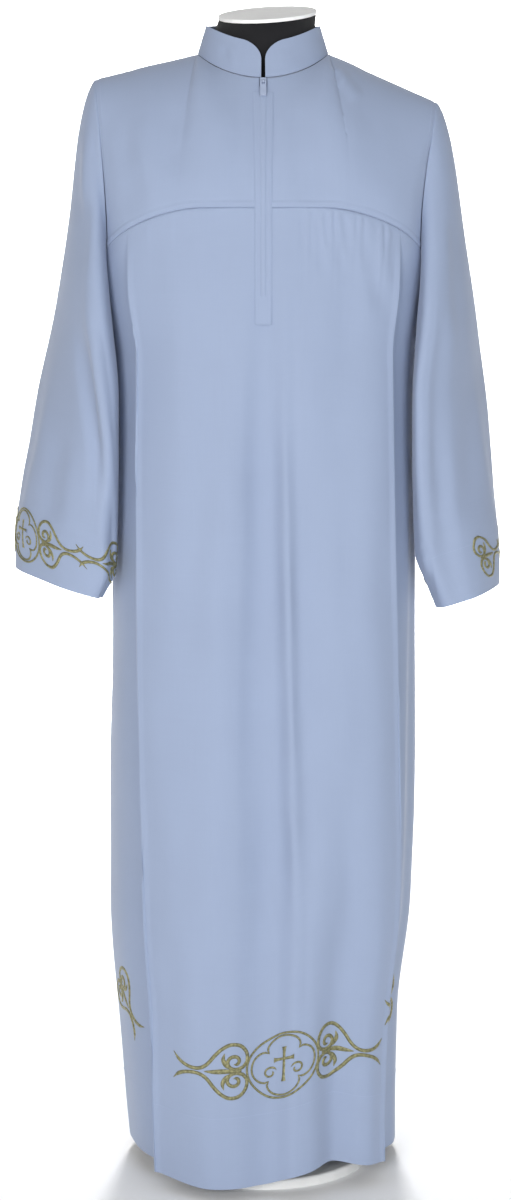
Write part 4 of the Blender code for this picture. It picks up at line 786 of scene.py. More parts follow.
@lru_cache(maxsize=None)
def yoke_panel(name):
    """The front yoke's halves part at the centre; above the strip they open for the zip's slider."""
    back = name == "yoke_back"
    arounds = back_arounds() if back else front_arounds()
    side = -1 if name.endswith("left") else 1
    reach = (2 - ARMHOLE_AROUND, 2 + ARMHOLE_AROUND) if back else sorted((0.0, side * ARMHOLE_AROUND))
    arounds = arounds[(arounds > reach[0] - 1e-9) & (arounds < reach[1] + 1e-9)]
    a, s = np.broadcast_arrays(arounds[None], YOKE_SHARES[:, None])
    grid = yoke_points(a, s).copy()
    if not back:
        open_share = ease((s - STRIP_TOP_SHARE) / OPENING_RUN)
        opening = HALF_SLIT + (ZIP_HALF_OPENING - HALF_SLIT) * open_share
        from_middle = side * grid[..., 0]
        near = from_middle < OPENING_FADE
        moved = from_middle * (1 - opening / OPENING_FADE) * near + (from_middle - opening) * ~near
        grid[..., 0] = side * (opening + moved)
    middle = column_of(arounds, 2.0 if back else 0.0)
    panel = make_panel(grid, u_zero=middle)
    panel = creased(panel, FRONT_CREASES, BACK_CREASES, middle, YOKE_CREASE_FADE, sewn_foot=True)
    band = 1 - ease((-panel.v - BAND_WIDTH) / FOLD_WIDTH)
    return make_panel(panel.grid + panel.normals * (BAND_RISE * band)[..., None], u_zero=middle)


# ---------------------------------------------------------------- sleeves
def armhole_loop(side):
    """Fine points round one armhole, from the underarm up the front, over the shoulder and down the back."""
    front, back = front_arounds(), back_arounds()
    skirt, behind = skirt_panel("skirt_front").grid[0], skirt_panel("skirt_back").grid[0]
    yoke = yoke_panel("yoke_front_left" if side < 0 else "yoke_front_right").grid
    yoke_back = yoke_panel("yoke_back").grid
    if side > 0:
        low_front = skirt[column_of(front, ARMHOLE_AROUND):][::-1]
        up, down = yoke[::-1, -1], yoke_back[:, 0]
        low_back = behind[: column_of(back, 2 - ARMHOLE_AROUND) + 1][::-1]
    else:
        low_front = skirt[: column_of(front, -ARMHOLE_AROUND) + 1]
        up, down = yoke[::-1, 0], yoke_back[:, -1]
        low_back = behind[column_of(back, 2 + ARMHOLE_AROUND):]
    return np.concatenate([low_front, up[1:], down[1:], low_back[1:-1]])


@lru_cache(maxsize=None)
def side_reach(side):
    """How far the body reaches sideways, by height and depth: heights, depths and the reach."""
    heights = np.arange(REACH_LOWEST, UNDERARM_HEIGHT + 0.001, REACH_ROW)
    depths = np.arange(-REACH_DEEPEST, REACH_DEEPEST + 0.001, REACH_COLUMN)
    places = side * np.linspace(*REACH_PLACES, REACH_POINTS)
    share = (UNDERARM_HEIGHT - heights) / UNDERARM_HEIGHT
    outline = body_points(places[None], heights[:, None], share[:, None])
    near = np.abs(outline[:, None, :, 1] - depths[None, :, None]) < REACH_WINDOW
    reach = np.where(near, np.abs(outline[:, None, :, 0]), 0.0).max(axis=2)
    return heights, depths, reach


def kept_clear(side, points, to_body):
    """Points on the sleeve's inner side moved outwards, clear of the body."""
    heights, depths, reach = side_reach(side)
    row = np.clip((points[..., 2] - heights[0]) / REACH_ROW, 0, len(heights) - 1.001)
    col = np.clip((points[..., 1] - depths[0]) / REACH_COLUMN, 0, len(depths) - 1.001)
    room = bump(points[..., 2] - LOOP_HEIGHT, LOOP_ROOM_HEIGHT) * bump(points[..., 1], LOOP_ROOM_WIDTH)
    limit = sample(reach, row, col) + SLEEVE_CLEARANCE + LOOP_ROOM * room
    x = np.maximum(np.abs(points[..., 0]), limit * (sample(reach, row, col) > 0))
    points[..., 0] = np.where(to_body > 0, side * x, points[..., 0])
    return points


def sleeve_rings(side, turns, height, down):
    """Rings of the hanging sleeve: one row for each height, one column for each turn."""
    table = SLEEVE_RINGS[side]
    size = {}
    for k, name in enumerate(RING_SIZES):
        size[name] = smooth_through(table[:, 0], table[:, k + 1], height)[:, None]
    middle = (size["inner"] + size["outer"]) / 2
    half = np.sqrt(((size["outer"] - size["inner"]) / 2) ** 2 - size["lean"] ** 2)
    angle = 2 * math.pi * turns[None]
    to_front, to_body = np.sin(angle), np.cos(angle)
    depth = np.where(to_front > 0, size["front"], size["back"])
    rise = 0.0
    for f in SLEEVE_FOLDS[side]:
        place = f.turn_top + (f.turn_cuff - f.turn_top) * down
        apart = (turns[None] - place[:, None] + 0.5) % 1.0 - 0.5
        depth_of_fold = from_three(down, f.rise_top, f.rise_mid, f.rise_cuff)[:, None]
        rise = rise + depth_of_fold * bump(apart, f.spread)
    outward = unit(np.stack([-to_body / half, -to_front / depth], -1))
    x = middle - half * to_body - size["lean"] * to_front + outward[..., 0] * rise
    y = -size["forward"] - depth * to_front + outward[..., 1] * rise
    outwards = np.clip((x - size["inner"]) / (size["outer"] - size["inner"]), 0, 1)
    z = height[:, None] + size["outer_rise"] * outwards
    return kept_clear(side, np.stack([side * x, y, z], -1), np.broadcast_to(to_body, x.shape))


@lru_cache(maxsize=None)
def sleeve_panel(name):
    side = -1 if name.endswith("left") else 1
    loop = armhole_loop(side)
    closed_loop = np.concatenate([loop, loop[:1]])
    along = distances_along(closed_loop)
    tip = along[int(np.argmax(loop[:, 2]))]
    places = np.linspace(0, along[-1], SLEEVE_COLUMNS, endpoint=False)
    rim = points_at(places, along, closed_loop)
    turns = np.where(places <= tip, 0.5 * places / tip, 0.5 + 0.5 * (places - tip) / (along[-1] - tip))

    cuff, top = SLEEVE_RINGS[side][0, 0], SLEEVE_RINGS[side][-1, 0]
    first, below = sleeve_rings(side, turns, np.array([top, top - 0.01]), np.array([0.0, 0.01]))
    length = np.linalg.norm(first - rim, axis=1, keepdims=True)
    high = 0.5 - 0.5 * np.cos(2 * math.pi * turns)
    steep = np.radians(CAP_STEEP + (CAP_SHALLOW - CAP_STEEP) * high**2)
    leave = np.stack([side * np.cos(steep), np.zeros_like(steep), -np.sin(steep)], -1) * length * CAP_LEAVE
    t = (np.arange(CAP_ROWS) / CAP_ROWS)[:, None, None]
    cap = hermite(rim, first, leave, unit(below - first) * length, t)
    down = np.linspace(0, 1, HANG_ROWS + 1)
    grid = np.concatenate([cap, sleeve_rings(side, turns, top + (cuff - top) * down, down)])
    grid = grid[:, ::-1] if side < 0 else grid
    panel = make_panel(grid, closed=True)
    return creased(panel, *SLEEVE_CREASES[side], fade=SLEEVE_CREASE_FADE)


# ---------------------------------------------------------------- collar, strip and belt loops
@lru_cache(maxsize=None)
def collar_panel():
    """The standing collar, from its top edge down to the neckline, with rounded front corners."""
    halves = np.linspace(0.0, 1.0, NECK_POINTS)
    angles = np.concatenate([halves * math.pi, (halves[1:] - 1.0) * math.pi])
    line = neckline_point(angles)
    line[0, 0], line[-1, 0] = COLLAR_FRONT_GAP / 2, -COLLAR_FRONT_GAP / 2
    along = distances_along(line)
    fine = np.concatenate([
        COLLAR_CORNER_WIDTH * (1 - np.cos(np.linspace(0, math.pi / 2, CORNER_COLUMNS))),
        np.linspace(COLLAR_CORNER_WIDTH, along[-1] - COLLAR_CORNER_WIDTH, COLLAR_COLUMNS)[1:-1],
        along[-1] - COLLAR_CORNER_WIDTH * (1 - np.cos(np.linspace(math.pi / 2, 0, CORNER_COLUMNS))),
    ])
    line = points_at(fine, along, line)
    from_edge = np.minimum(fine, along[-1] - fine)
    corner = 1 - np.sqrt(1 - np.maximum(0.0, 1 - from_edge / COLLAR_CORNER_WIDTH) ** 2)
    to_front = np.maximum(0.0, -line[:, 1] / NECK_FRONT)
    full = COLLAR_SIDE_HEIGHT + (COLLAR_FRONT_HEIGHT - COLLAR_SIDE_HEIGHT) * to_front**COLLAR_CURVE
    height = full - COLLAR_CORNER_DROP * corner
    flat = np.stack([-line[:, 0], -line[:, 1], np.zeros(len(line))], -1)
    up = (unit(flat) * COLLAR_LEAN / COLLAR_FRONT_HEIGHT + np.array([0, 0, 1.0])) * height[:, None]
    shares = np.linspace(1.0, 0.0, COLLAR_ROWS)[:, None, None]
    panel = make_panel(line + np.array([0, 0, GAP]) + up * shares)
    rise = crease_rise(panel.grid, COLLAR_CREASES) * (panel.grid[..., 1] < -0.02)
    rise *= bump(shares[..., 0] - 0.5, COLLAR_CREASE_REACH)
    return make_panel(panel.grid + panel.normals * rise[..., None])


def centre_line_grid(top_share, end_share, columns, lift):
    """A band down the centre front over yoke and skirt, standing `lift` off the cloth."""
    across = np.linspace(-STRIP_HALF_AROUND, STRIP_HALF_AROUND, columns)
    a, s = np.broadcast_arrays(across[None], np.linspace(top_share, 0.0, ROWS_OVER_YOKE)[:, None])
    upper = yoke_points(a, s)
    shares = np.linspace(0, end_share, ROWS_OVER_SKIRT)[1:, None]
    top = top_height(across)
    hem = smooth_through(HEM_LINE[:, 0], HEM_LINE[:, 1], across)
    lower = body_points(across[None], top + (hem - top) * shares, shares)
    grid = np.concatenate([upper, lower])
    return grid + grid_normals(grid, False) * lift


@lru_cache(maxsize=None)
def strip_panel():
    """The strip over the zip: a raised middle between two grooves, edges that turn down, and a flat foot."""
    grid = centre_line_grid(STRIP_TOP_SHARE, STRIP_END_SHARE, STRIP_COLUMNS, GAP + STRIP_CLOTH)
    middle = STRIP_COLUMNS // 2
    panel = make_panel(grid, u_zero=middle)
    half = panel.u[:, -1:]
    side = np.abs(panel.u) / half
    rise = STRIP_RAISED * (1 - past(side, *MIDDLE_SLOPE)) - STRIP_RAISED * past(side, *TURNED_EDGE)
    rise = rise - STRIP_GROOVE * bump(side - GROOVE_MIDDLE, GROOVE_SPREAD)
    foot = ease((panel.v + STRIP_FOOT) / FOLD_WIDTH)
    rise = rise * (1 - foot) + STRIP_GROOVE * foot - STRIP_FOOT_EDGE * past(side, *FOOT_TURNED_EDGE) * foot
    return make_panel(panel.grid + panel.normals * rise[..., None], u_zero=middle)


@lru_cache(maxsize=None)
def loop_panel(name):
    """A narrow band standing off the side seam between its two sewn ends."""
    side = -1 if name.endswith("left") else 1
    shares = np.linspace(0, 1, LOOP_ROWS)
    heights = LOOP_HEIGHT + LOOP_LENGTH * (0.5 - shares)
    skirt = skirt_panel("skirt_front").grid[:, 0 if side < 0 else -1]
    seam = points_at(heights, skirt[::-1, 2], skirt[::-1])
    stand = LOOP_SEWN + STRIP_CLOTH + LOOP_STAND * np.sin(math.pi * shares) ** LOOP_FLATNESS
    across = np.linspace(-1, 1, LOOP_COLUMNS)
    crown = LOOP_CROWN * (1 - across**2)
    out = side * (stand[:, None] + crown[None])
    grid = seam[:, None] + np.stack([out, side * across[None] * LOOP_WIDTH / 2 + 0 * out, 0 * out], -1)
    return make_panel(grid)


# ---------------------------------------------------------------- meshes
def grid_faces(rows, cols, closed=False):
    """Faces of a grid whose rows run down, seen from its outer side."""
    r, c = np.meshgrid(np.arange(rows - 1), np.arange(cols if closed else cols - 1), indexing="ij")
    after = (c + 1) % cols
    row, below = r * cols, (r + 1) * cols
    return np.stack([row + c, below + c, below + after, row + after], -1).reshape(-1, 4)


def rim_faces(rows, cols, closed):
    """Faces that join the outer grid's open edges to the inner grid's."""
    inner = rows * cols
    c = np.arange(cols if closed else cols - 1)
    after = (c + 1) % cols
    last = (rows - 1) * cols
    faces = [np.stack([c, after, after + inner, c + inner], -1),
             np.stack([last + after, last + c, last + c + inner, last + after + inner], -1)]
    if not closed:
        r = np.arange(rows - 1) * cols
        below = r + cols
        faces.append(np.stack([below, r, r + inner, below + inner], -1))
        r, below = r + cols - 1, below + cols - 1
        faces.append(np.stack([r, below, below + inner, r + inner], -1))
    return np.concatenate(faces)


def mesh_object(name, points, faces, uv, material, sharp=62):
    """A mesh from arrays: points, faces of four corners and a cloth coordinate for each point."""
    mesh = bpy.data.meshes.new(name)
    mesh.from_pydata(points.tolist(), [], faces.tolist())
    layer = mesh.uv_layers.new(name="cloth")
    corners = np.empty(len(mesh.loops), dtype=np.int32)
    mesh.loops.foreach_get("vertex_index", corners)
    layer.data.foreach_set("uv", uv[corners].astype(np.float32).ravel())
    mesh.shade_smooth()
    mesh.set_sharp_from_angle(angle=math.radians(sharp))
    mesh.materials.append(material)
    piece = bpy.data.objects.new(name, mesh)
    bpy.context.scene.collection.objects.link(piece)
    return piece


def drawn_in(panel, sewn):
    """The panel's grid with its sewn edges dipped a little and drawn out to meet their neighbours."""
    grid = panel.grid.copy()
    edges = {"top": (np.s_[0], np.s_[1]), "bottom": (np.s_[-1], np.s_[-2]),
             "first": (np.s_[:, 0], np.s_[:, 1]), "last": (np.s_[:, -1], np.s_[:, -2])}
    for name in sewn:
        edge, next_in = edges[name]
        grid[edge] -= unit(grid[next_in] - grid[edge]) * GAP / 2 + panel.normals[edge] * SEAM_DIP
    return grid


def shell(name, panel, thickness, material, sewn=()):
    """A thin closed shell of cloth on a panel's outer face."""
    rows, cols = panel.grid.shape[:2]
    outer = drawn_in(panel, sewn)
    points = np.concatenate([outer.reshape(-1, 3), (outer - panel.normals * thickness).reshape(-1, 3)])
    faces = grid_faces(rows, cols, panel.closed)
    faces = np.concatenate([faces, faces[:, ::-1] + rows * cols, rim_faces(rows, cols, panel.closed)])
    uv = np.stack([panel.u.ravel(), panel.v.ravel()], -1)
    return mesh_object(name, points, faces, np.concatenate([uv, uv]), material)


# Cross sections of a laid line and of a stitch: negative parts sink into the cloth.
RIBBON_ACROSS = np.array([-1.0, -0.72, 0.0, 0.72, 1.0])
RIBBON_CROWN = np.array([-0.35, 0.70, 1.0, 0.70, -0.35])
RIBBON_LIFT = 0.0001
STITCH_CROWN = np.array([[-0.4, -0.4, -0.4], [-0.2, 1.0, -0.2], [-0.2, 1.0, -0.2], [-0.4, -0.4, -0.4]])
STITCH_ALONG = np.array([-0.5, -0.3, 0.3, 0.5])  # shares of its length
STITCH_HALF_WIDTH, STITCH_HEIGHT = 0.00036, 0.00042
STITCH_REACH = 0.0005  # how far to each side the path is looked at for a stitch's direction


def beside(way):
    """Directions square to these, on the cloth."""
    return np.stack([way[:, 1], -way[:, 0]], -1)


class Strands:
    """Raised lines and stitches that lie on cloth, gathered into one mesh."""

    def __init__(self):
        self.points, self.faces, self.uv, self.count = [], [], [], 0

    def add_grid(self, grid, uv):
        rows, cols = grid.shape[:2]
        self.points.append(grid.reshape(-1, 3))
        self.uv.append(uv.reshape(-1, 2))
        self.faces.append(grid_faces(rows, cols) + self.count)
        self.count += rows * cols

    def ribbon(self, panel, path, half_width, height):
        """A crowned line along a path of (u, v) places on the cloth."""
        path = np.asarray(path, float)
        sideways = beside(unit(np.gradient(path, axis=0)))
        across, crown = RIBBON_ACROSS, RIBBON_CROWN
        half_width = np.broadcast_to(half_width, len(path))
        places = path[:, None] + sideways[:, None] * (across[None, :, None] * half_width[:, None, None])
        share = np.minimum(1.0, half_width / max(half_width.max(), 1e-9))
        lifts = RIBBON_LIFT + crown[None] * height * (0.35 + 0.65 * share[:, None])
        grid = on_cloth(panel, places[..., 0], places[..., 1], lifts)
        along = distances_along(path)
        uv = np.stack(np.broadcast_arrays(along[:, None], across[None] * half_width[:, None]), -1)
        self.add_grid(grid, uv)

    def stitches(self, panel, path, length, spacing):
        """A row of separate stitches along a path of (u, v) places."""
        path = np.asarray(path, float)
        along = distances_along(path)
        middles = np.arange(spacing / 2, along[-1], spacing)
        if not len(middles):
            return
        middle = points_at(middles, along, path)
        ahead, behind = (points_at(middles + step, along, path) for step in (STITCH_REACH, -STITCH_REACH))
        way = unit(ahead - behind)
        s, t = STITCH_ALONG * length, np.array([-1.0, 0.0, 1.0]) * STITCH_HALF_WIDTH
        places = (middle[:, None, None] + way[:, None, None] * s[None, :, None, None]
                  + beside(way)[:, None, None] * t[None, None, :, None])
        lifts = np.broadcast_to(STITCH_CROWN * STITCH_HEIGHT, places.shape[:3])
        grid = on_cloth(panel, places[..., 0], places[..., 1], lifts)
        uv = np.stack(np.broadcast_arrays(s[:, None] + 0 * t, t[None] + 0 * s[:, None]), -1)
        for stitch in grid:
            self.add_grid(stitch, uv)

    def build(self, name, material):
        points, faces, uv = (np.concatenate(part) for part in (self.points, self.faces, self.uv))
        return mesh_object(name, points, faces, uv, material, sharp=80)


# ---------------------------------------------------------------- finishes
def feed(tree, socket, value):
    """Links a socket to the one that feeds it, or sets its value."""
    if isinstance(value, bpy.types.NodeSocket):
        tree.links.new(value, socket)
    else:
        socket.default_value = value


def node(tree, kind, inputs=None, **settings):
    """A shader node. Inputs are values or the sockets that feed them."""
    made = tree.nodes.new(kind)
    for key, value in settings.items():
        setattr(made, key, value)
    for key, value in (inputs or {}).items():
        feed(tree, made.inputs[key], value)
    return made


def calc(tree, operation, *values):
    return node(tree, "ShaderNodeMath", dict(enumerate(values)), operation=operation).outputs[0]


def mixed(tree, factor, first, second):
    """A mix of two colours. The node keeps its colour inputs at 6 and 7 and their mix at 2."""
    return node(tree, "ShaderNodeMix", {0: factor, 6: first, 7: second}, data_type="RGBA").outputs[2]


def group(name, inputs, outputs):
    """An empty shader node group with its sockets, and its two end nodes."""
    tree = bpy.data.node_groups.new(name, "ShaderNodeTree")
    for label, kind, value in inputs:
        socket = tree.interface.new_socket(name=label, in_out="INPUT", socket_type=kind)
        if value is not None:
            socket.default_value = value
    for label, kind in outputs:
        tree.interface.new_socket(name=label, in_out="OUTPUT", socket_type=kind)
    return tree, tree.nodes.new("NodeGroupInput").outputs, tree.nodes.new("NodeGroupOutput").inputs


def plain_weave(name):
    """Height of over-and-under threads, with slubs that make single threads a little thicker."""
    inputs = [("Coordinate", "NodeSocketVector", None), ("Thread pitch", "NodeSocketFloat", 0.0006),
              ("Slubs", "NodeSocketFloat", 0.35)]
    tree, given, out = group(name, inputs, [("Height", "NodeSocketFloat"), ("Slub", "NodeSocketFloat")])
    parts = node(tree, "ShaderNodeSeparateXYZ", {0: given["Coordinate"]}).outputs
    waves = []
    for axis in (0, 1):
        turns = calc(tree, "DIVIDE", parts[axis], given["Thread pitch"])
        waves.append(calc(tree, "SINE", calc(tree, "MULTIPLY", turns, math.pi)))
    woven = calc(tree, "MULTIPLY", waves[0], waves[1])
    streaks = []
    for scale in ((2600, 40, 1), (40, 2600, 1)):
        scaled = {0: given["Coordinate"], 1: scale}
        stretched = node(tree, "ShaderNodeVectorMath", scaled, operation="MULTIPLY")
        noise = {"Vector": stretched.outputs[0], "Scale": 0.35, "Detail": 1.0}
        streaks.append(node(tree, "ShaderNodeTexNoise", noise).outputs[0])
    slub = calc(tree, "SUBTRACT", calc(tree, "ADD", *streaks), 1.0)
    height = calc(tree, "MULTIPLY_ADD", slub, given["Slubs"], calc(tree, "MULTIPLY_ADD", woven, 0.5, 0.5))
    tree.links.new(height, out["Height"])
    tree.links.new(slub, out["Slub"])
    return tree


def noise_group(name, size_label, size, detail, result):
    """A group with noise whose patches have the size that its input says."""
    inputs = [("Coordinate", "NodeSocketVector", None), (size_label, "NodeSocketFloat", size)]
    tree, given, out = group(name, inputs, [(result, "NodeSocketFloat")])
    scale = calc(tree, "DIVIDE", 1.0, given[size_label])
    noise = {"Vector": given["Coordinate"], "Scale": scale, "Detail": detail}
    tree.links.new(node(tree, "ShaderNodeTexNoise", noise).outputs[0], out[result])
    return tree


def soft_mottling(name):
    """A slow change from 0 to 1 over the surface, for cloth and coatings that aren't quite even."""
    return noise_group(name, "Patch size", 0.06, 3.0, "Mask")


def fine_grain(name):
    """Height of a fine even grain, as of powder coating, enamel or brushed knit."""
    return noise_group(name, "Grain size", 0.001, 2.0, "Height")


def placed_group(tree, make, **values):
    """A node for a group that is made once, named after its function, and shared by the materials."""
    name = make.__name__.replace("_", " ").capitalize()
    used = node(tree, "ShaderNodeGroup", node_tree=bpy.data.node_groups.get(name) or make(name))
    for label, value in values.items():
        feed(tree, used.inputs[label.replace("_", " ")], value)
    return used.outputs


def new_material(name, **constants):
    """A material, its tree and its shader, with what is the same all over set on the shader's sockets."""
    material = bpy.data.materials.new(name)
    material.use_nodes = True
    tree = material.node_tree
    shader = tree.nodes["Principled BSDF"]
    for label, value in constants.items():
        shader.inputs[label.replace("_", " ")].default_value = value
    material.diffuse_color = (*constants.get("Base_Color", (0.5, 0.5, 0.5, 1.0))[:3], 1.0)
    return material, tree, shader


def shade_of(colour, factor):
    """The colour made lighter or darker."""
    return (*(min(1.0, c * factor) for c in colour[:3]), 1.0)


def bumped(tree, shader, height, strength, distance):
    made = node(tree, "ShaderNodeBump", {"Height": height, "Strength": strength, "Distance": distance})
    tree.links.new(made.outputs[0], shader.inputs["Normal"])


THREAD_SHOW = 0.16  # how much single threads show in the cloth's colour
WEAVE_DEPTH = 0.00012


def cloth_material(name, colour, pitch, mottle):
    """Plain-weave cloth with a faint sheen, whose slubs and slow unevenness change its colour a little."""
    if name in bpy.data.materials:
        return bpy.data.materials[name]
    material, tree, shader = new_material(
        name, Base_Color=(*colour, 1.0), Sheen_Weight=0.22, Sheen_Roughness=0.45, Specular_IOR_Level=0.28
    )
    place = node(tree, "ShaderNodeUVMap", uv_map="cloth").outputs[0]
    weave = placed_group(tree, plain_weave, Coordinate=place, Thread_pitch=pitch)
    patches = placed_group(tree, soft_mottling, Coordinate=place, Patch_size=0.09)
    base = mixed(tree, patches["Mask"], shade_of(colour, 1 - mottle), shade_of(colour, 1 + mottle))
    threads = calc(tree, "MULTIPLY_ADD", weave["Slub"], 0.5, 0.5)
    darker, lighter = shade_of(colour, 0.80), shade_of(colour, 1.18)
    faint = mixed(tree, THREAD_SHOW, base, mixed(tree, threads, darker, lighter))
    tree.links.new(faint, shader.inputs["Base Color"])
    rough = calc(tree, "MULTIPLY_ADD", weave["Height"], 0.10, 0.66)
    tree.links.new(rough, shader.inputs["Roughness"])
    bumped(tree, shader, weave["Height"], 0.45, WEAVE_DEPTH)
    return material


SATIN_PITCH = 0.0007  # from one thread of the satin stitch to the next
SATIN_SLANT = 0.35  # how far the threads slant, for each step across the line
SATIN_DEPTH = 0.0002
GLINT_LEVEL, GLINT_CONTRAST = 0.42, 3.2  # patches above this level are painted lighter, as painted glints
GOLD_SHADES = (0.62, 1.75)  # its darkest and lightest tones, as shares of the thread's colour: painted shade between the threads, painted highlight on their crests and in the glints


def gold_material(name, colour):
    """Satin stitch in metallic thread: fine ridges across the line, with painted shade between the threads
    and painted glints in uneven patches.
    """
    if name in bpy.data.materials:
        return bpy.data.materials[name]
    metal = {"Metallic": 0.55, "Specular_IOR_Level": 0.5}
    material, tree, shader = new_material(name, Base_Color=(*colour, 1.0), **metal)
    place = node(tree, "ShaderNodeUVMap", uv_map="cloth").outputs[0]
    parts = node(tree, "ShaderNodeSeparateXYZ", {0: place}).outputs
    slanted = calc(tree, "MULTIPLY_ADD", parts[1], SATIN_SLANT, parts[0])
    turns = calc(tree, "MULTIPLY", slanted, 2 * math.pi / SATIN_PITCH)
    # Painted shade and highlight: the thread's colour is darker in the grooves between the satin threads and
    # lighter on their crests.
    ridges = calc(tree, "MULTIPLY_ADD", calc(tree, "SINE", turns), 0.5, 0.5)
    glints = placed_group(tree, soft_mottling, Coordinate=place, Patch_size=0.004)
    # Painted glints: where the patches pass the glint level, the thread's colour is made lighter.
    painted_glint = calc(tree, "MULTIPLY", calc(tree, "SUBTRACT", glints["Mask"], GLINT_LEVEL), GLINT_CONTRAST)
    tone = calc(tree, "MULTIPLY_ADD", ridges, 0.45, calc(tree, "MULTIPLY", painted_glint, 0.7))
    tone = node(tree, "ShaderNodeClamp", {0: tone}).outputs[0]
    colours = mixed(tree, tone, *(shade_of(colour, shade) for shade in GOLD_SHADES))
    tree.links.new(colours, shader.inputs["Base Color"])
    tree.links.new(calc(tree, "MULTIPLY_ADD", tone, -0.18, 0.46), shader.inputs["Roughness"])
    bumped(tree, shader, ridges, 0.6, SATIN_DEPTH)
    return material


def grained_material(name, colour, grain, patch, strength, rough, variation=0.15, **constants):
    """A coating, plastic or knit: sizes of its grain and of its patches of tone, and how strong they are."""
    if name in bpy.data.materials:
        return bpy.data.materials[name]
    material, tree, shader = new_material(name, Base_Color=(*colour, 1.0), **constants)
    place = node(tree, "ShaderNodeTexCoord").outputs["Object"]
    fine = placed_group(tree, fine_grain, Coordinate=place, Grain_size=grain)
    patches = placed_group(tree, soft_mottling, Coordinate=place, Patch_size=patch)
    darker, lighter = shade_of(colour, 1 - variation), shade_of(colour, 1 + variation)
    tree.links.new(mixed(tree, patches["Mask"], darker, lighter), shader.inputs["Base Color"])
    roughness = calc(tree, "MULTIPLY_ADD", patches["Mask"], 0.14, rough - 0.07)
    tree.links.new(roughness, shader.inputs["Roughness"])
    bumped(tree, shader, fine["Height"], strength, grain / 3)
    return material


# ---------------------------------------------------------------- embroidery
# The heart scroll's outer sweep, in millimetres from the medallion's middle, from its tail to its lobe.
HEART_SWEEP = [
    (128, 16.5), (122, 9.8), (114, 5.2), (105, 3.0), (97, 3.2), (90, 6.4), (84.5, 12.0),
    (79, 19.5), (71.5, 27.5), (62, 33.0), (51, 31.5), (43.6, 23.0), (42.3, 12.0), (47.0, 4.6),
]
SIDE_LEAF = [(60, 3.5), (66, 8.0), (69.5, 15.0), (68.0, 22.5)]
MIDDLE_LEAF = [(54, 0), (68, 0.3), (80, -0.2), (90, 0)]
BEAD = [(48.5, 0), (55, 0)]
CURL_MIDDLE = np.array([56.5, 12.0])
CURL_START, CURL_END = 10.6, 3.2  # radii in millimetres
CURL_TURNS = 1.15
MEDALLION_RADIUS = 39.5
MEDALLION_BREADTH = 1.06  # as a share of its height
CARTOUCHE_RADIUS, CARTOUCHE_WAIST = 37.0, 25.0
CROSS_BARS = ([(0, -20), (0, 23)], [(-12, 8), (12, 8)])
SWIRL_MIDDLE = np.array([16, -7])  # of the curl on each side of the cross
SWIRL_START, SWIRL_SHRINK = 7.5, 4.6  # its radius, and how much that shrinks
RING_POINTS, SWIRL_POINTS = 97, 34
LINE, FINE_LINE = 2.45, 1.35  # half widths, in millimetres
THREAD_HEIGHT = 0.0011


def spline(points, per_span):
    """A smooth line through a few places."""
    p = np.asarray(points, float)
    p = np.vstack([2 * p[0] - p[1], p, 2 * p[-1] - p[-2]])
    t = np.linspace(0, 1, per_span, endpoint=False)[:, None]
    spans = []
    for a, b, c, d in zip(p[:-3], p[1:-2], p[2:-1], p[3:]):
        square, cube = 2 * a - 5 * b + 4 * c - d, 3 * b - a - 3 * c + d
        spans.append(0.5 * (2 * b + (c - a) * t + square * t**2 + cube * t**3))
    return np.vstack(spans + [p[-2:-1]])


def tapered(count, start, end, full):
    """Half widths along a line that thin out over its ends. start and end are shares of its length."""
    t = np.linspace(0, 1, count)
    return full * (0.22 + 0.78 * np.minimum(ease(t / start), ease((1 - t) / end)))


def heart_lines():
    """Half a heart scroll as (line, half widths): sweep and curl in one stroke, and its leaf."""
    sweep = spline(HEART_SWEEP, 9)
    across, up = HEART_SWEEP[-1] - CURL_MIDDLE
    start = math.atan2(up, across)
    t = np.linspace(0, 1, 44)[1:]
    angle = start + 0.35 + 2 * math.pi * CURL_TURNS * t
    radius = CURL_START + (CURL_END - CURL_START) * t**0.8
    curl = CURL_MIDDLE + radius[:, None] * np.stack([np.cos(angle), np.sin(angle)], -1)
    stroke = np.vstack([sweep, curl])
    side_leaf = spline(SIDE_LEAF, 7)
    return [(stroke, tapered(len(stroke), 0.07, 0.05, LINE)), (side_leaf, leaf_width(len(side_leaf), 3.2))]


def leaf_width(count, full):
    """Half widths of a leaf, thickest a little before its middle."""
    t = np.linspace(0, 1, count)
    return full * (0.15 + 0.85 * np.sin(np.pi * t**0.8) ** 0.9)


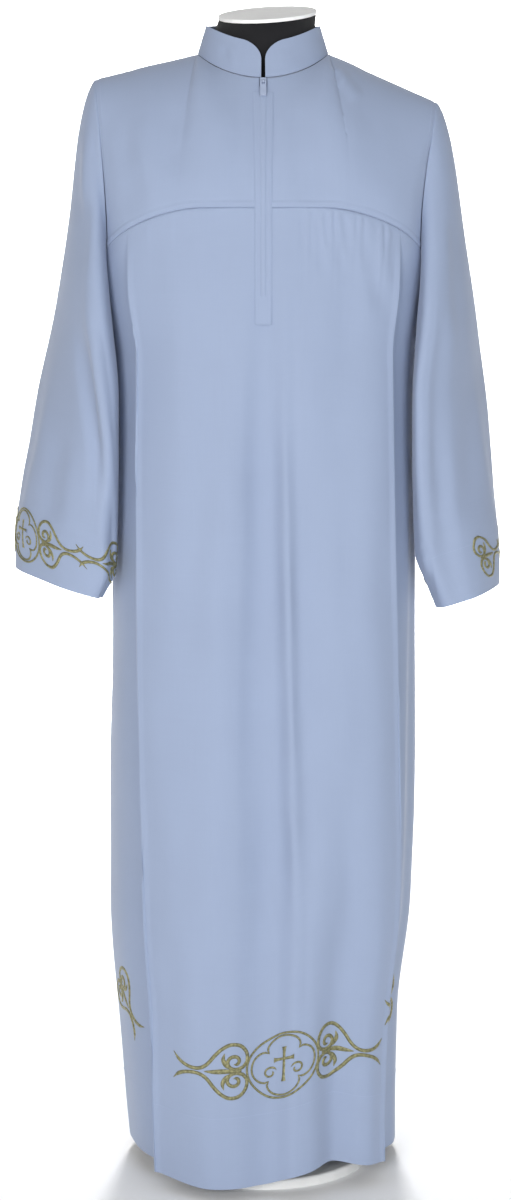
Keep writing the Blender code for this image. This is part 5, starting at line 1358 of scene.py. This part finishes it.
def motif_lines(parts):
    """The lines of one motif in millimetres about the medallion's middle."""
    lines = []
    for direction, part in ((-1, "heart left"), (1, "heart right")):
        if part not in parts:
            continue
        for upper in (-1, 1):
            for line, widths in heart_lines():
                lines.append((line * (direction, upper), widths))
        for places, per_span, full in ((MIDDLE_LEAF, 7, 3.3), (BEAD, 5, 2.6)):
            leaf = spline(places, per_span)
            lines.append((leaf * (direction, 1), leaf_width(len(leaf), full)))
    if "medallion" in parts:
        angle = np.linspace(0, 2 * math.pi, RING_POINTS)
        ring = MEDALLION_RADIUS * (1 + 0.018 * np.cos(4 * angle + 0.4))
        lobes = CARTOUCHE_WAIST + (CARTOUCHE_RADIUS - CARTOUCHE_WAIST) * np.abs(np.cos(2 * angle)) ** 0.55
        for breadth, radius, width in ((MEDALLION_BREADTH, ring, FINE_LINE * 1.1), (1.0, lobes, FINE_LINE)):
            outline = radius[:, None] * np.stack([np.cos(angle), np.sin(angle)], -1) * (breadth, 1)
            lines.append((outline, np.full(RING_POINTS, width)))
        for ends in CROSS_BARS:
            bar = spline(ends, 22)
            flare = 1.9 + 1.6 * np.abs(np.linspace(-1, 1, len(bar))) ** 5
            lines.append((bar, flare))
        t = np.linspace(0, 1, SWIRL_POINTS)
        turn = math.pi * (0.9 - 2.1 * t)
        radius = SWIRL_START - SWIRL_SHRINK * t
        swirl = SWIRL_MIDDLE + radius[:, None] * np.stack([np.cos(turn), np.sin(turn)], -1)
        for direction in (-1, 1):
            lines.append((swirl * (direction, 1), tapered(SWIRL_POINTS, 0.1, 0.1, FINE_LINE)))
    return lines


WHOLE = ("heart left", "medallion", "heart right")
# One row for each motif: the panel it is on, where (place round the body, or a sleeve's turn), its middle's
# height over the hem, its breadth and height as shares of a hem motif, tilt in degrees and the parts it has.
Motif = namedtuple("Motif", "piece panel place rise breadth height tilt parts")
MOTIFS = [
    Motif("embroidery_front", "skirt_front", 0.046, 0.145, 1.12, 1.0, -1, WHOLE),
    Motif("embroidery_back", "skirt_back", 2.0, 0.150, 1.0, 1.0, 0, WHOLE),
    Motif("embroidery_side_left", "skirt_front", -1.05, 0.250, 1.0, 1.0, -46, ("heart right",)),
    Motif("embroidery_side_left", "skirt_back", 3.0, 0.230, 1.0, 1.0, 6, ("heart left",)),
    Motif("embroidery_side_right", "skirt_front", 1.14, 0.205, 1.0, 1.0, 6, ("heart left",)),
    Motif("embroidery_side_right", "skirt_back", 1.0, 0.205, 1.0, 1.0, -6, ("heart right",)),
    Motif("embroidery_cuff_left", "sleeve_left", 0.508, 0.047, 0.87, 0.80, 0, WHOLE),
    Motif("embroidery_cuff_left", "sleeve_left", 0.008, 0.047, 0.87, 0.80, 0, WHOLE),
    Motif("embroidery_cuff_right", "sleeve_right", 0.318, 0.044, 0.85, 0.80, 0, ("heart right",)),
    Motif("embroidery_cuff_right", "sleeve_right", 0.850, 0.044, 0.85, 0.80, 0, WHOLE),
]


def panel_named(name):
    makers = {"skirt": skirt_panel, "yoke": yoke_panel, "sleeve": sleeve_panel}
    return makers[name.split("_")[0]](name)


def motif_origin(motif):
    """The cloth coordinates of a motif's middle, and the panel to draw it on."""
    panel = panel_named(motif.panel)
    row = int(np.argmin(np.abs(panel.v[:, 0] + motif.rise)))
    if motif.panel.startswith("sleeve"):
        turn = 1 - motif.place if motif.panel.endswith("left") else motif.place
        return thrice(panel), float(panel.u[row, int(turn * panel.grid.shape[1])])
    arounds = front_arounds() if motif.panel == "skirt_front" else back_arounds()
    return panel, float(panel.u[row, column_of(arounds, motif.place)])


def embroider(strands, motif, size, line_width):
    """Lays one motif's lines on its panel."""
    panel, u_middle = motif_origin(motif)
    turn = math.radians(motif.tilt)
    spin = np.array([[math.cos(turn), math.sin(turn)], [-math.sin(turn), math.cos(turn)]])
    for line, widths in motif_lines(motif.parts):
        line = line * (motif.breadth, motif.height) @ spin * size / 1000
        path = np.stack([u_middle + line[:, 0], -motif.rise - line[:, 1]], -1)
        strands.ribbon(panel, path, widths * line_width * motif.height / 1000, THREAD_HEIGHT)


# ---------------------------------------------------------------- stitching
# One row for each line of stitches that runs level on a panel: its distance above the hem or seam at the
# panel's foot, and the places between which it runs, as shares of the panel's breadth.
SeamLine = namedtuple("SeamLine", "panel rise start end")
SEAM_LINES = [
    SeamLine("skirt_front", 0.088, 0.0, 1.0),
    SeamLine("skirt_back", 0.088, 0.0, 1.0),
    SeamLine("sleeve_left", 0.065, 0.0, 1.0),
    SeamLine("sleeve_right", 0.065, 0.0, 1.0),
    SeamLine("yoke_front_left", 0.0052, 0.0, 0.985),
    SeamLine("yoke_front_left", 0.0012, 0.0, 0.985),
    SeamLine("yoke_front_right", 0.0052, 0.015, 1.0),
    SeamLine("yoke_front_right", 0.0012, 0.015, 1.0),
    SeamLine("yoke_back", 0.0052, 0.0, 1.0),
    SeamLine("yoke_back", 0.0012, 0.0, 1.0),
]
COLLAR_STITCH_RISE = 0.0030  # over the neckline
STRIP_INSET, ARMHOLE_INSET = 0.0022, 0.005  # from the edge that the stitches follow
ARMHOLE_EDGES = (("yoke_front_left", 0), ("yoke_front_right", -1), ("yoke_back", 0), ("yoke_back", -1))


def level_path(panel, rise, start, end, steps=240):
    """A path at one height over the panel's foot."""
    row = int(np.argmin(np.abs(np.mean(panel.v, axis=1) + rise)))
    line = panel.u[row]
    u = np.interp(np.linspace(start, end, steps) * (len(line) - 1), np.arange(len(line)), line)
    return np.stack([u, np.full(steps, -rise)], -1)


def upright_path(panel, column, inset, top, foot, steps=200):
    """A path down a panel beside one of its edges."""
    v = panel.v[:, column]
    v = np.linspace(v[0] + top, v[-1] - foot, steps)
    u = np.interp(v, panel.v[:, column], panel.u[:, column])
    return np.stack([u + inset, v], -1)


# ---------------------------------------------------------------- what a user would change
def plain_setting(name, description, default, low, high, kind=FloatProperty, **more):
    return kind(name=name, description=description, default=default, min=low, max=high, **more)


def colour_setting(name, description, default):
    return plain_setting(name, description, default, 0, 1, FloatVectorProperty, subtype="COLOR", size=3)


def length_setting(name, description, default, low, high, precision=4):
    return plain_setting(name, description, default, low, high, unit="LENGTH", precision=precision)


def power_setting(name, description, default, high):
    return plain_setting(name, description, default, 0, high, unit="POWER")


class AlbClothSettings(bpy.types.PropertyGroup):
    colour: colour_setting("Cloth colour", "Colour of the alb's cloth", (0.300, 0.362, 0.505))
    thickness: length_setting("Cloth thickness", "Thickness of the single cloth", 0.0011, 0.0004, 0.0016)
    thread_pitch: length_setting("Thread pitch", "From one thread of the weave to the next",
                                 0.0006, 0.0002, 0.003)
    mottling: plain_setting("Unevenness", "How much the cloth's tone drifts over its face", 0.035, 0, 0.3,
                            subtype="FACTOR")


class AlbEmbroiderySettings(bpy.types.PropertyGroup):
    colour: colour_setting("Thread colour", "Colour of the gold thread", (0.225, 0.215, 0.110))
    size: plain_setting("Motif size", "1 is a scroll motif 256 mm broad", 1.0, 0.6, 1.2)
    line_width: plain_setting("Line width", "1 is the usual satin stitch", 1.0, 0.5, 1.6)


class AlbStitchSettings(bpy.types.PropertyGroup):
    length: length_setting("Stitch length", "Length of a stitch", 0.0023, 0.001, 0.006)
    spacing: length_setting("Stitch spacing", "From the middle of a stitch to the next",
                            0.0030, 0.0015, 0.008)
    colour: colour_setting("Thread colour", "Colour of the sewing thread", (0.330, 0.398, 0.555))


class AlbStageSettings(bpy.types.PropertyGroup):
    sky: plain_setting("Surrounding light", "Strength of the even light from all round", 0.44, 0, 3)
    key: power_setting("Main light", "Power of the large light at the front left", 54.0, 1000)
    fill: power_setting("Second light", "Power of the light at the front right", 34.0, 1000)
    floor_light: power_setting("Floor light", "Power of the light over the floor behind", 640.0, 2000)
    backdrop_light: power_setting("Backdrop light", "Power of the light on the sweep behind", 520.0, 2000)
    floor_colour: colour_setting("Floor colour", "Colour of the floor and its sweep", (0.92, 0.92, 0.92))
    camera_height: length_setting("Camera height", "Height of the camera", 1.005, 0.2, 2.5, 2)
    camera_distance: length_setting("Camera distance", "From the camera to the robe's middle", 2.70, 1, 8, 2)
    camera_pitch: plain_setting("Camera pitch", "How far the camera looks down", math.radians(6), 0, 1,
                                subtype="ANGLE")
    lens: plain_setting("Lens", "Focal length", 64.1, 20, 200, unit="CAMERA")


def cloth_finish():
    settings = bpy.context.scene.alb_cloth
    return cloth_material("alb_cloth", tuple(settings.colour), settings.thread_pitch, settings.mottling)


def finished(piece, body="robe", replaces=()):
    """Puts a piece on its body, and lets it stand for its solids."""
    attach(piece, body)
    if replaces:
        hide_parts(*replaces)
    return piece


def refinish(name, material):
    """Gives one of the frame's own solids another material."""
    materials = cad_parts[name].data.materials
    materials.clear()
    materials.append(material)


def cloth_piece(name, panel, sewn=(), thickness=None):
    thickness = thickness or bpy.context.scene.alb_cloth.thickness
    return finished(shell(name + "_cloth", panel, thickness, cloth_finish(), sewn), replaces=(name,))


# ---------------------------------------------------------------- the pieces
class ALB_OT_skirt(bpy.types.Operator):
    """Hang the skirt's front and back panels from the yoke seam"""

    bl_idname = "alb.skirt"
    bl_label = "Skirt panels"

    def execute(self, context):
        for name in ("skirt_front", "skirt_back"):
            cloth_piece(name, skirt_panel(name), ("top", "first", "last"))
        return {"FINISHED"}


class ALB_OT_yoke(bpy.types.Operator):
    """Lay the yoke over the shoulders, with the seam allowance turned up along its foot"""

    bl_idname = "alb.yoke"
    bl_label = "Yoke"

    def execute(self, context):
        front = (("yoke_front_left", ("first",)), ("yoke_front_right", ("last",)))
        for name, sides in (*front, ("yoke_back", ("first", "last"))):
            cloth_piece(name, yoke_panel(name), ("top", "bottom", *sides))
        return {"FINISHED"}


class ALB_OT_sleeves(bpy.types.Operator):
    """Set the two wide sleeves into their armholes"""

    bl_idname = "alb.sleeves"
    bl_label = "Sleeves"

    def execute(self, context):
        for name in ("sleeve_left", "sleeve_right"):
            cloth_piece(name, sleeve_panel(name), ("top",))
        return {"FINISHED"}


class ALB_OT_collar(bpy.types.Operator):
    """Stand the collar on the neckline"""

    bl_idname = "alb.collar"
    bl_label = "Collar"

    def execute(self, context):
        cloth_piece("collar", collar_panel(), (), COLLAR_CLOTH)
        return {"FINISHED"}


class ALB_OT_closing(bpy.types.Operator):
    """Make the front strip, the zip tape behind it and the zip's teeth"""

    bl_idname = "alb.closing"
    bl_label = "Front closing"

    def execute(self, context):
        cloth_piece("front_strip", strip_panel(), (), STRIP_CLOTH)
        grid = centre_line_grid(1.0, TAPE_END_SHARE, TAPE_COLUMNS, -(CLOTH_WALL + GAP))
        tape = make_panel(grid, u_zero=TAPE_COLUMNS // 2)
        cloth_piece("zip_tape", tape, (), TAPE_CLOTH)
        self.teeth(tape)
        for name in ("zip_slider", "zip_pull"):
            refinish(name, enamel())
        return {"FINISHED"}

    def teeth(self, tape):
        """Two rows of teeth, set half a step apart so that they mesh."""
        strands = Strands()
        top = float(tape.v[0, TAPE_COLUMNS // 2]) + TEETH_START
        across = TOOTH_REACH * (1 - np.linspace(0, TOOTH_PAST_MIDDLE, len(TOOTH_HALF_WIDTHS)))
        for k in range(TEETH):
            for side in (-1, 1):
                v = top + k * TOOTH_STEP + (side > 0) * TOOTH_STEP / 2
                path = np.stack([side * across, np.full(len(across), v)], -1)
                strands.ribbon(tape, path, np.array(TOOTH_HALF_WIDTHS), TOOTH_HEIGHT)
        finished(strands.build("zip_teeth", enamel()))


def enamel():
    return grained_material("zip_enamel", (0.34, 0.40, 0.54), grain=0.0012, patch=0.01, strength=0.08,
                            rough=0.32, Specular_IOR_Level=0.55, Coat_Weight=0.25)


class ALB_OT_belt_loops(bpy.types.Operator):
    """Sew a belt loop to each side seam"""

    bl_idname = "alb.belt_loops"
    bl_label = "Belt loops"

    def execute(self, context):
        for name in ("belt_loop_left", "belt_loop_right"):
            cloth_piece(name, loop_panel(name), (), STRIP_CLOTH)
        return {"FINISHED"}


class ALB_OT_stitching(bpy.types.Operator):
    """Run the sewing thread along the yoke seams, hems, cuffs, armholes, collar and strip"""

    bl_idname = "alb.stitching"
    bl_label = "Stitching"

    def execute(self, context):
        settings = context.scene.alb_stitching
        thread = cloth_material("sewing_thread", tuple(settings.colour), 0.0004, 0.05)
        self.strands = Strands()
        for line in SEAM_LINES:
            panel = panel_named(line.panel)
            self.sew(panel, level_path(panel, line.rise, line.start, line.end), settings)
        self.sew_uprights(settings)
        finished(self.strands.build("stitching", thread))
        return {"FINISHED"}

    def sew(self, panel, path, settings):
        self.strands.stitches(panel, path, settings.length, settings.spacing)

    def sew_uprights(self, settings):
        """The collar's foot, the strip's edges and foot, and the yoke's armholes."""
        collar, strip = collar_panel(), strip_panel()
        self.sew(collar, level_path(collar, COLLAR_STITCH_RISE, 0.01, 0.99), settings)
        for column, inset in ((0, STRIP_INSET), (-1, -STRIP_INSET)):
            self.sew(strip, upright_path(strip, column, inset, 0.002, 0.002), settings)
        half = float(strip.u[-1, -1]) * 0.8
        for rise in (0.003, STRIP_FOOT - 0.001):
            self.sew(strip, [(-half, -rise), (half, -rise)], settings)
        for name, column in ARMHOLE_EDGES:
            panel = yoke_panel(name)
            inset = -ARMHOLE_INSET if column else ARMHOLE_INSET
            self.sew(panel, upright_path(panel, column, inset, 0.004, 0.004), settings)


class ALB_OT_embroidery(bpy.types.Operator):
    """Lay the gold scrolls and medallions round the hem and the cuffs"""

    bl_idname = "alb.embroidery"
    bl_label = "Embroidery"

    def execute(self, context):
        settings = context.scene.alb_embroidery
        gold = gold_material("gold_thread", tuple(settings.colour))
        pieces = {}
        for motif in MOTIFS:
            strands = pieces.setdefault(motif.piece, Strands())
            embroider(strands, motif, settings.size, settings.line_width)
        for name, strands in pieces.items():
            finished(strands.build(name, gold))
        return {"FINISHED"}


FLAT_ANGLE = math.radians(4)  # faces of the form's solid that meet at less than this lie in one plane
RIM_ANGLE = math.radians(48)  # and those that meet at more keep a firm rim
RIM_CREASE = 0.9


class ALB_OT_dress_form(bpy.types.Operator):
    """Cover the dress form in black jersey and finish its cap, pole and base"""

    bl_idname = "alb.dress_form"
    bl_label = "Dress form"

    def execute(self, context):
        jersey = grained_material("black_jersey", (0.010, 0.010, 0.012), grain=0.0011, patch=0.05,
                                  strength=0.35, rough=0.82, Sheen_Weight=0.12, Specular_IOR_Level=0.25)
        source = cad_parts["form_torso"]
        mesh = source.data.copy()
        mesh.name = "form_jersey"
        bm = bmesh.new()
        bm.from_mesh(mesh)
        bmesh.ops.remove_doubles(bm, verts=bm.verts, dist=1e-6)
        flat = [e for e in bm.edges if len(e.link_faces) == 2 and e.calc_face_angle() < FLAT_ANGLE]
        bmesh.ops.dissolve_edges(bm, edges=flat, use_verts=False)
        triangles = [f for f in bm.faces if len(f.verts) == 3]
        bmesh.ops.join_triangles(bm, faces=triangles, angle_face_threshold=math.radians(30),
                                 angle_shape_threshold=math.radians(60))
        crease = bm.edges.layers.float.new("crease_edge")
        for edge in bm.edges:
            if len(edge.link_faces) == 2 and edge.calc_face_angle() > RIM_ANGLE:
                edge[crease] = RIM_CREASE
        bm.to_mesh(mesh)
        bm.free()
        mesh.materials.clear()
        mesh.materials.append(jersey)
        torso = bpy.data.objects.new("form_jersey", mesh)
        context.scene.collection.objects.link(torso)
        rounding = torso.modifiers.new("rounding", "SUBSURF")
        rounding.levels = rounding.render_levels = 1
        mesh.shade_smooth()
        finished(torso, replaces=("form_torso",))
        cap = grained_material("cap_plastic", (0.92, 0.92, 0.91), grain=0.0015, patch=0.03,
                               strength=0.1, rough=0.42, variation=0.04)
        coat = grained_material("powder_coat", (0.80, 0.80, 0.79), grain=0.0010, patch=0.04,
                                strength=0.3, rough=0.45, variation=0.04)
        for name, finish in (("form_neck_cap", cap), ("stand_pole", coat), ("stand_base", coat)):
            refinish(name, finish)
        return {"FINISHED"}


# Lamps of the stage: how wide each is, its spread in degrees, where it hangs and what it points at.
Lamp = namedtuple("Lamp", "name size spread place target colour")
LAMPS = (
    Lamp("key", 1.1, 180, (-1.1, -3.3, 1.30), (0.0, 0.0, 0.85), (1.0, 0.985, 0.965)),
    Lamp("fill", 1.5, 180, (1.2, -3.2, 1.10), (0.0, 0.0, 0.80), (0.90, 0.95, 1.0)),
    Lamp("floor_light", 1.0, 104, (0.0, 4.8, 4.8), (0.0, 4.9, 0.0), (1.0, 1.0, 1.0)),
    Lamp("backdrop_light", 2.2, 130, (0.0, 7.0, 5.2), (0.0, 11.5, 1.6), (1.0, 1.0, 1.0)),
)
# The floor: its reach to each side and to the front, and the sweep behind it, in metres.
FLOOR_REACH, SWEEP_START, SWEEP_BEND, SWEEP_HEIGHT = 9.0, 9.0, 2.5, 6.5
CAMERA_SIDE = -0.0093  # the camera's place along X


def floor_finish(colour):
    return grained_material("studio_floor", colour, grain=0.003, patch=0.8, strength=0.03, rough=0.75,
                            variation=0.02)


class ALB_OT_stage(bpy.types.Operator):
    """Set the floor, the soft lights and the camera"""

    bl_idname = "alb.stage"
    bl_label = "Stage"

    def execute(self, context):
        settings = context.scene.alb_stage
        self.lay_floor(settings)
        self.hang_lights(context, settings)
        camera = bpy.data.cameras.new("camera")
        camera.lens, camera.sensor_width, camera.clip_end = settings.lens, 36.0, 60.0
        stand = bpy.data.objects.new("camera", camera)
        stand.location = (CAMERA_SIDE, -settings.camera_distance, settings.camera_height)
        stand.rotation_euler = (math.pi / 2 - settings.camera_pitch, 0.0, 0.0)
        context.scene.collection.objects.link(stand)
        context.scene.camera = stand
        context.scene.view_settings.view_transform = "Standard"
        return {"FINISHED"}

    def lay_floor(self, settings):
        """A floor that sweeps up into a backdrop far behind."""
        line = [(-FLOOR_REACH, 0.0), (-2.0, 0.0), (4.0, 0.0)]
        for a in np.linspace(0, math.pi / 2, 16):
            line.append((SWEEP_START + SWEEP_BEND * math.sin(a), SWEEP_BEND * (1 - math.cos(a))))
        line.append((SWEEP_START + SWEEP_BEND, SWEEP_HEIGHT))
        across = np.linspace(-FLOOR_REACH, FLOOR_REACH, 9)
        grid = np.array([(x, y, z) for y, z in line for x in across])
        faces = grid_faces(len(line), len(across))
        floor = mesh_object("floor", grid, faces, grid[:, :2], floor_finish(tuple(settings.floor_colour)))

    def hang_lights(self, context, settings):
        """An even white surrounding and the four lamps."""
        world = bpy.data.worlds.new("studio")
        world.use_nodes = True
        background = world.node_tree.nodes["Background"].inputs
        background["Color"].default_value = (1.0, 1.0, 1.0, 1.0)
        background["Strength"].default_value = settings.sky
        context.scene.world = world
        for lamp in LAMPS:
            light = bpy.data.lights.new(lamp.name, "AREA")
            light.shape, light.size, light.energy = "DISK", lamp.size, getattr(settings, lamp.name)
            light.color, light.spread = lamp.colour, math.radians(lamp.spread)
            stand = bpy.data.objects.new(lamp.name, light)
            stand.location = lamp.place
            way = Vector(lamp.target) - Vector(lamp.place)
            stand.rotation_euler = way.to_track_quat("-Z", "Y").to_euler()
            context.scene.collection.objects.link(stand)


class ALB_PT_panel(bpy.types.Panel):
    """Everything that makes the alb, in the order it is made"""

    bl_idname = "ALB_PT_panel"
    bl_label = "Alb robe"
    bl_space_type = "VIEW_3D"
    bl_region_type = "UI"
    bl_category = "Alb"

    def draw(self, context):
        for name in SETTINGS:
            box = self.layout.box()
            box.label(text=name.removeprefix("alb_").capitalize())
            settings = getattr(context.scene, name)
            for key in settings.bl_rna.properties.keys():
                if key not in ("rna_type", "name"):
                    box.prop(settings, key)
        for operator in OPERATORS:
            self.layout.operator(operator.bl_idname)


# The cut of each sheet before it was sewn and hung: width and length of the piece of cloth, its own area
# where it isn't a rectangle, how it hangs, what it rests on and what is sewn to it.
Cut = namedtuple("Cut", "width length area held rests_on sewn_on")


OPERATORS = (ALB_OT_skirt, ALB_OT_yoke, ALB_OT_sleeves, ALB_OT_collar, ALB_OT_closing, ALB_OT_belt_loops,
             ALB_OT_stitching, ALB_OT_embroidery, ALB_OT_dress_form, ALB_OT_stage)
SETTINGS = {"alb_cloth": AlbClothSettings, "alb_embroidery": AlbEmbroiderySettings,
            "alb_stitching": AlbStitchSettings, "alb_stage": AlbStageSettings}
CLASSES = (*SETTINGS.values(), *OPERATORS, ALB_PT_panel)


def register():
    for cls in CLASSES:
        bpy.utils.register_class(cls)
    for name, settings in SETTINGS.items():
        setattr(bpy.types.Scene, name, PointerProperty(type=settings))


def unregister():
    for name in SETTINGS:
        delattr(bpy.types.Scene, name)
    for cls in reversed(CLASSES):
        bpy.utils.unregister_class(cls)


def main():
    register()
    for operator in OPERATORS:
        category, name = operator.bl_idname.split(".")
        getattr(getattr(bpy.ops, category), name)()


if __name__ == "__main__":
    main()
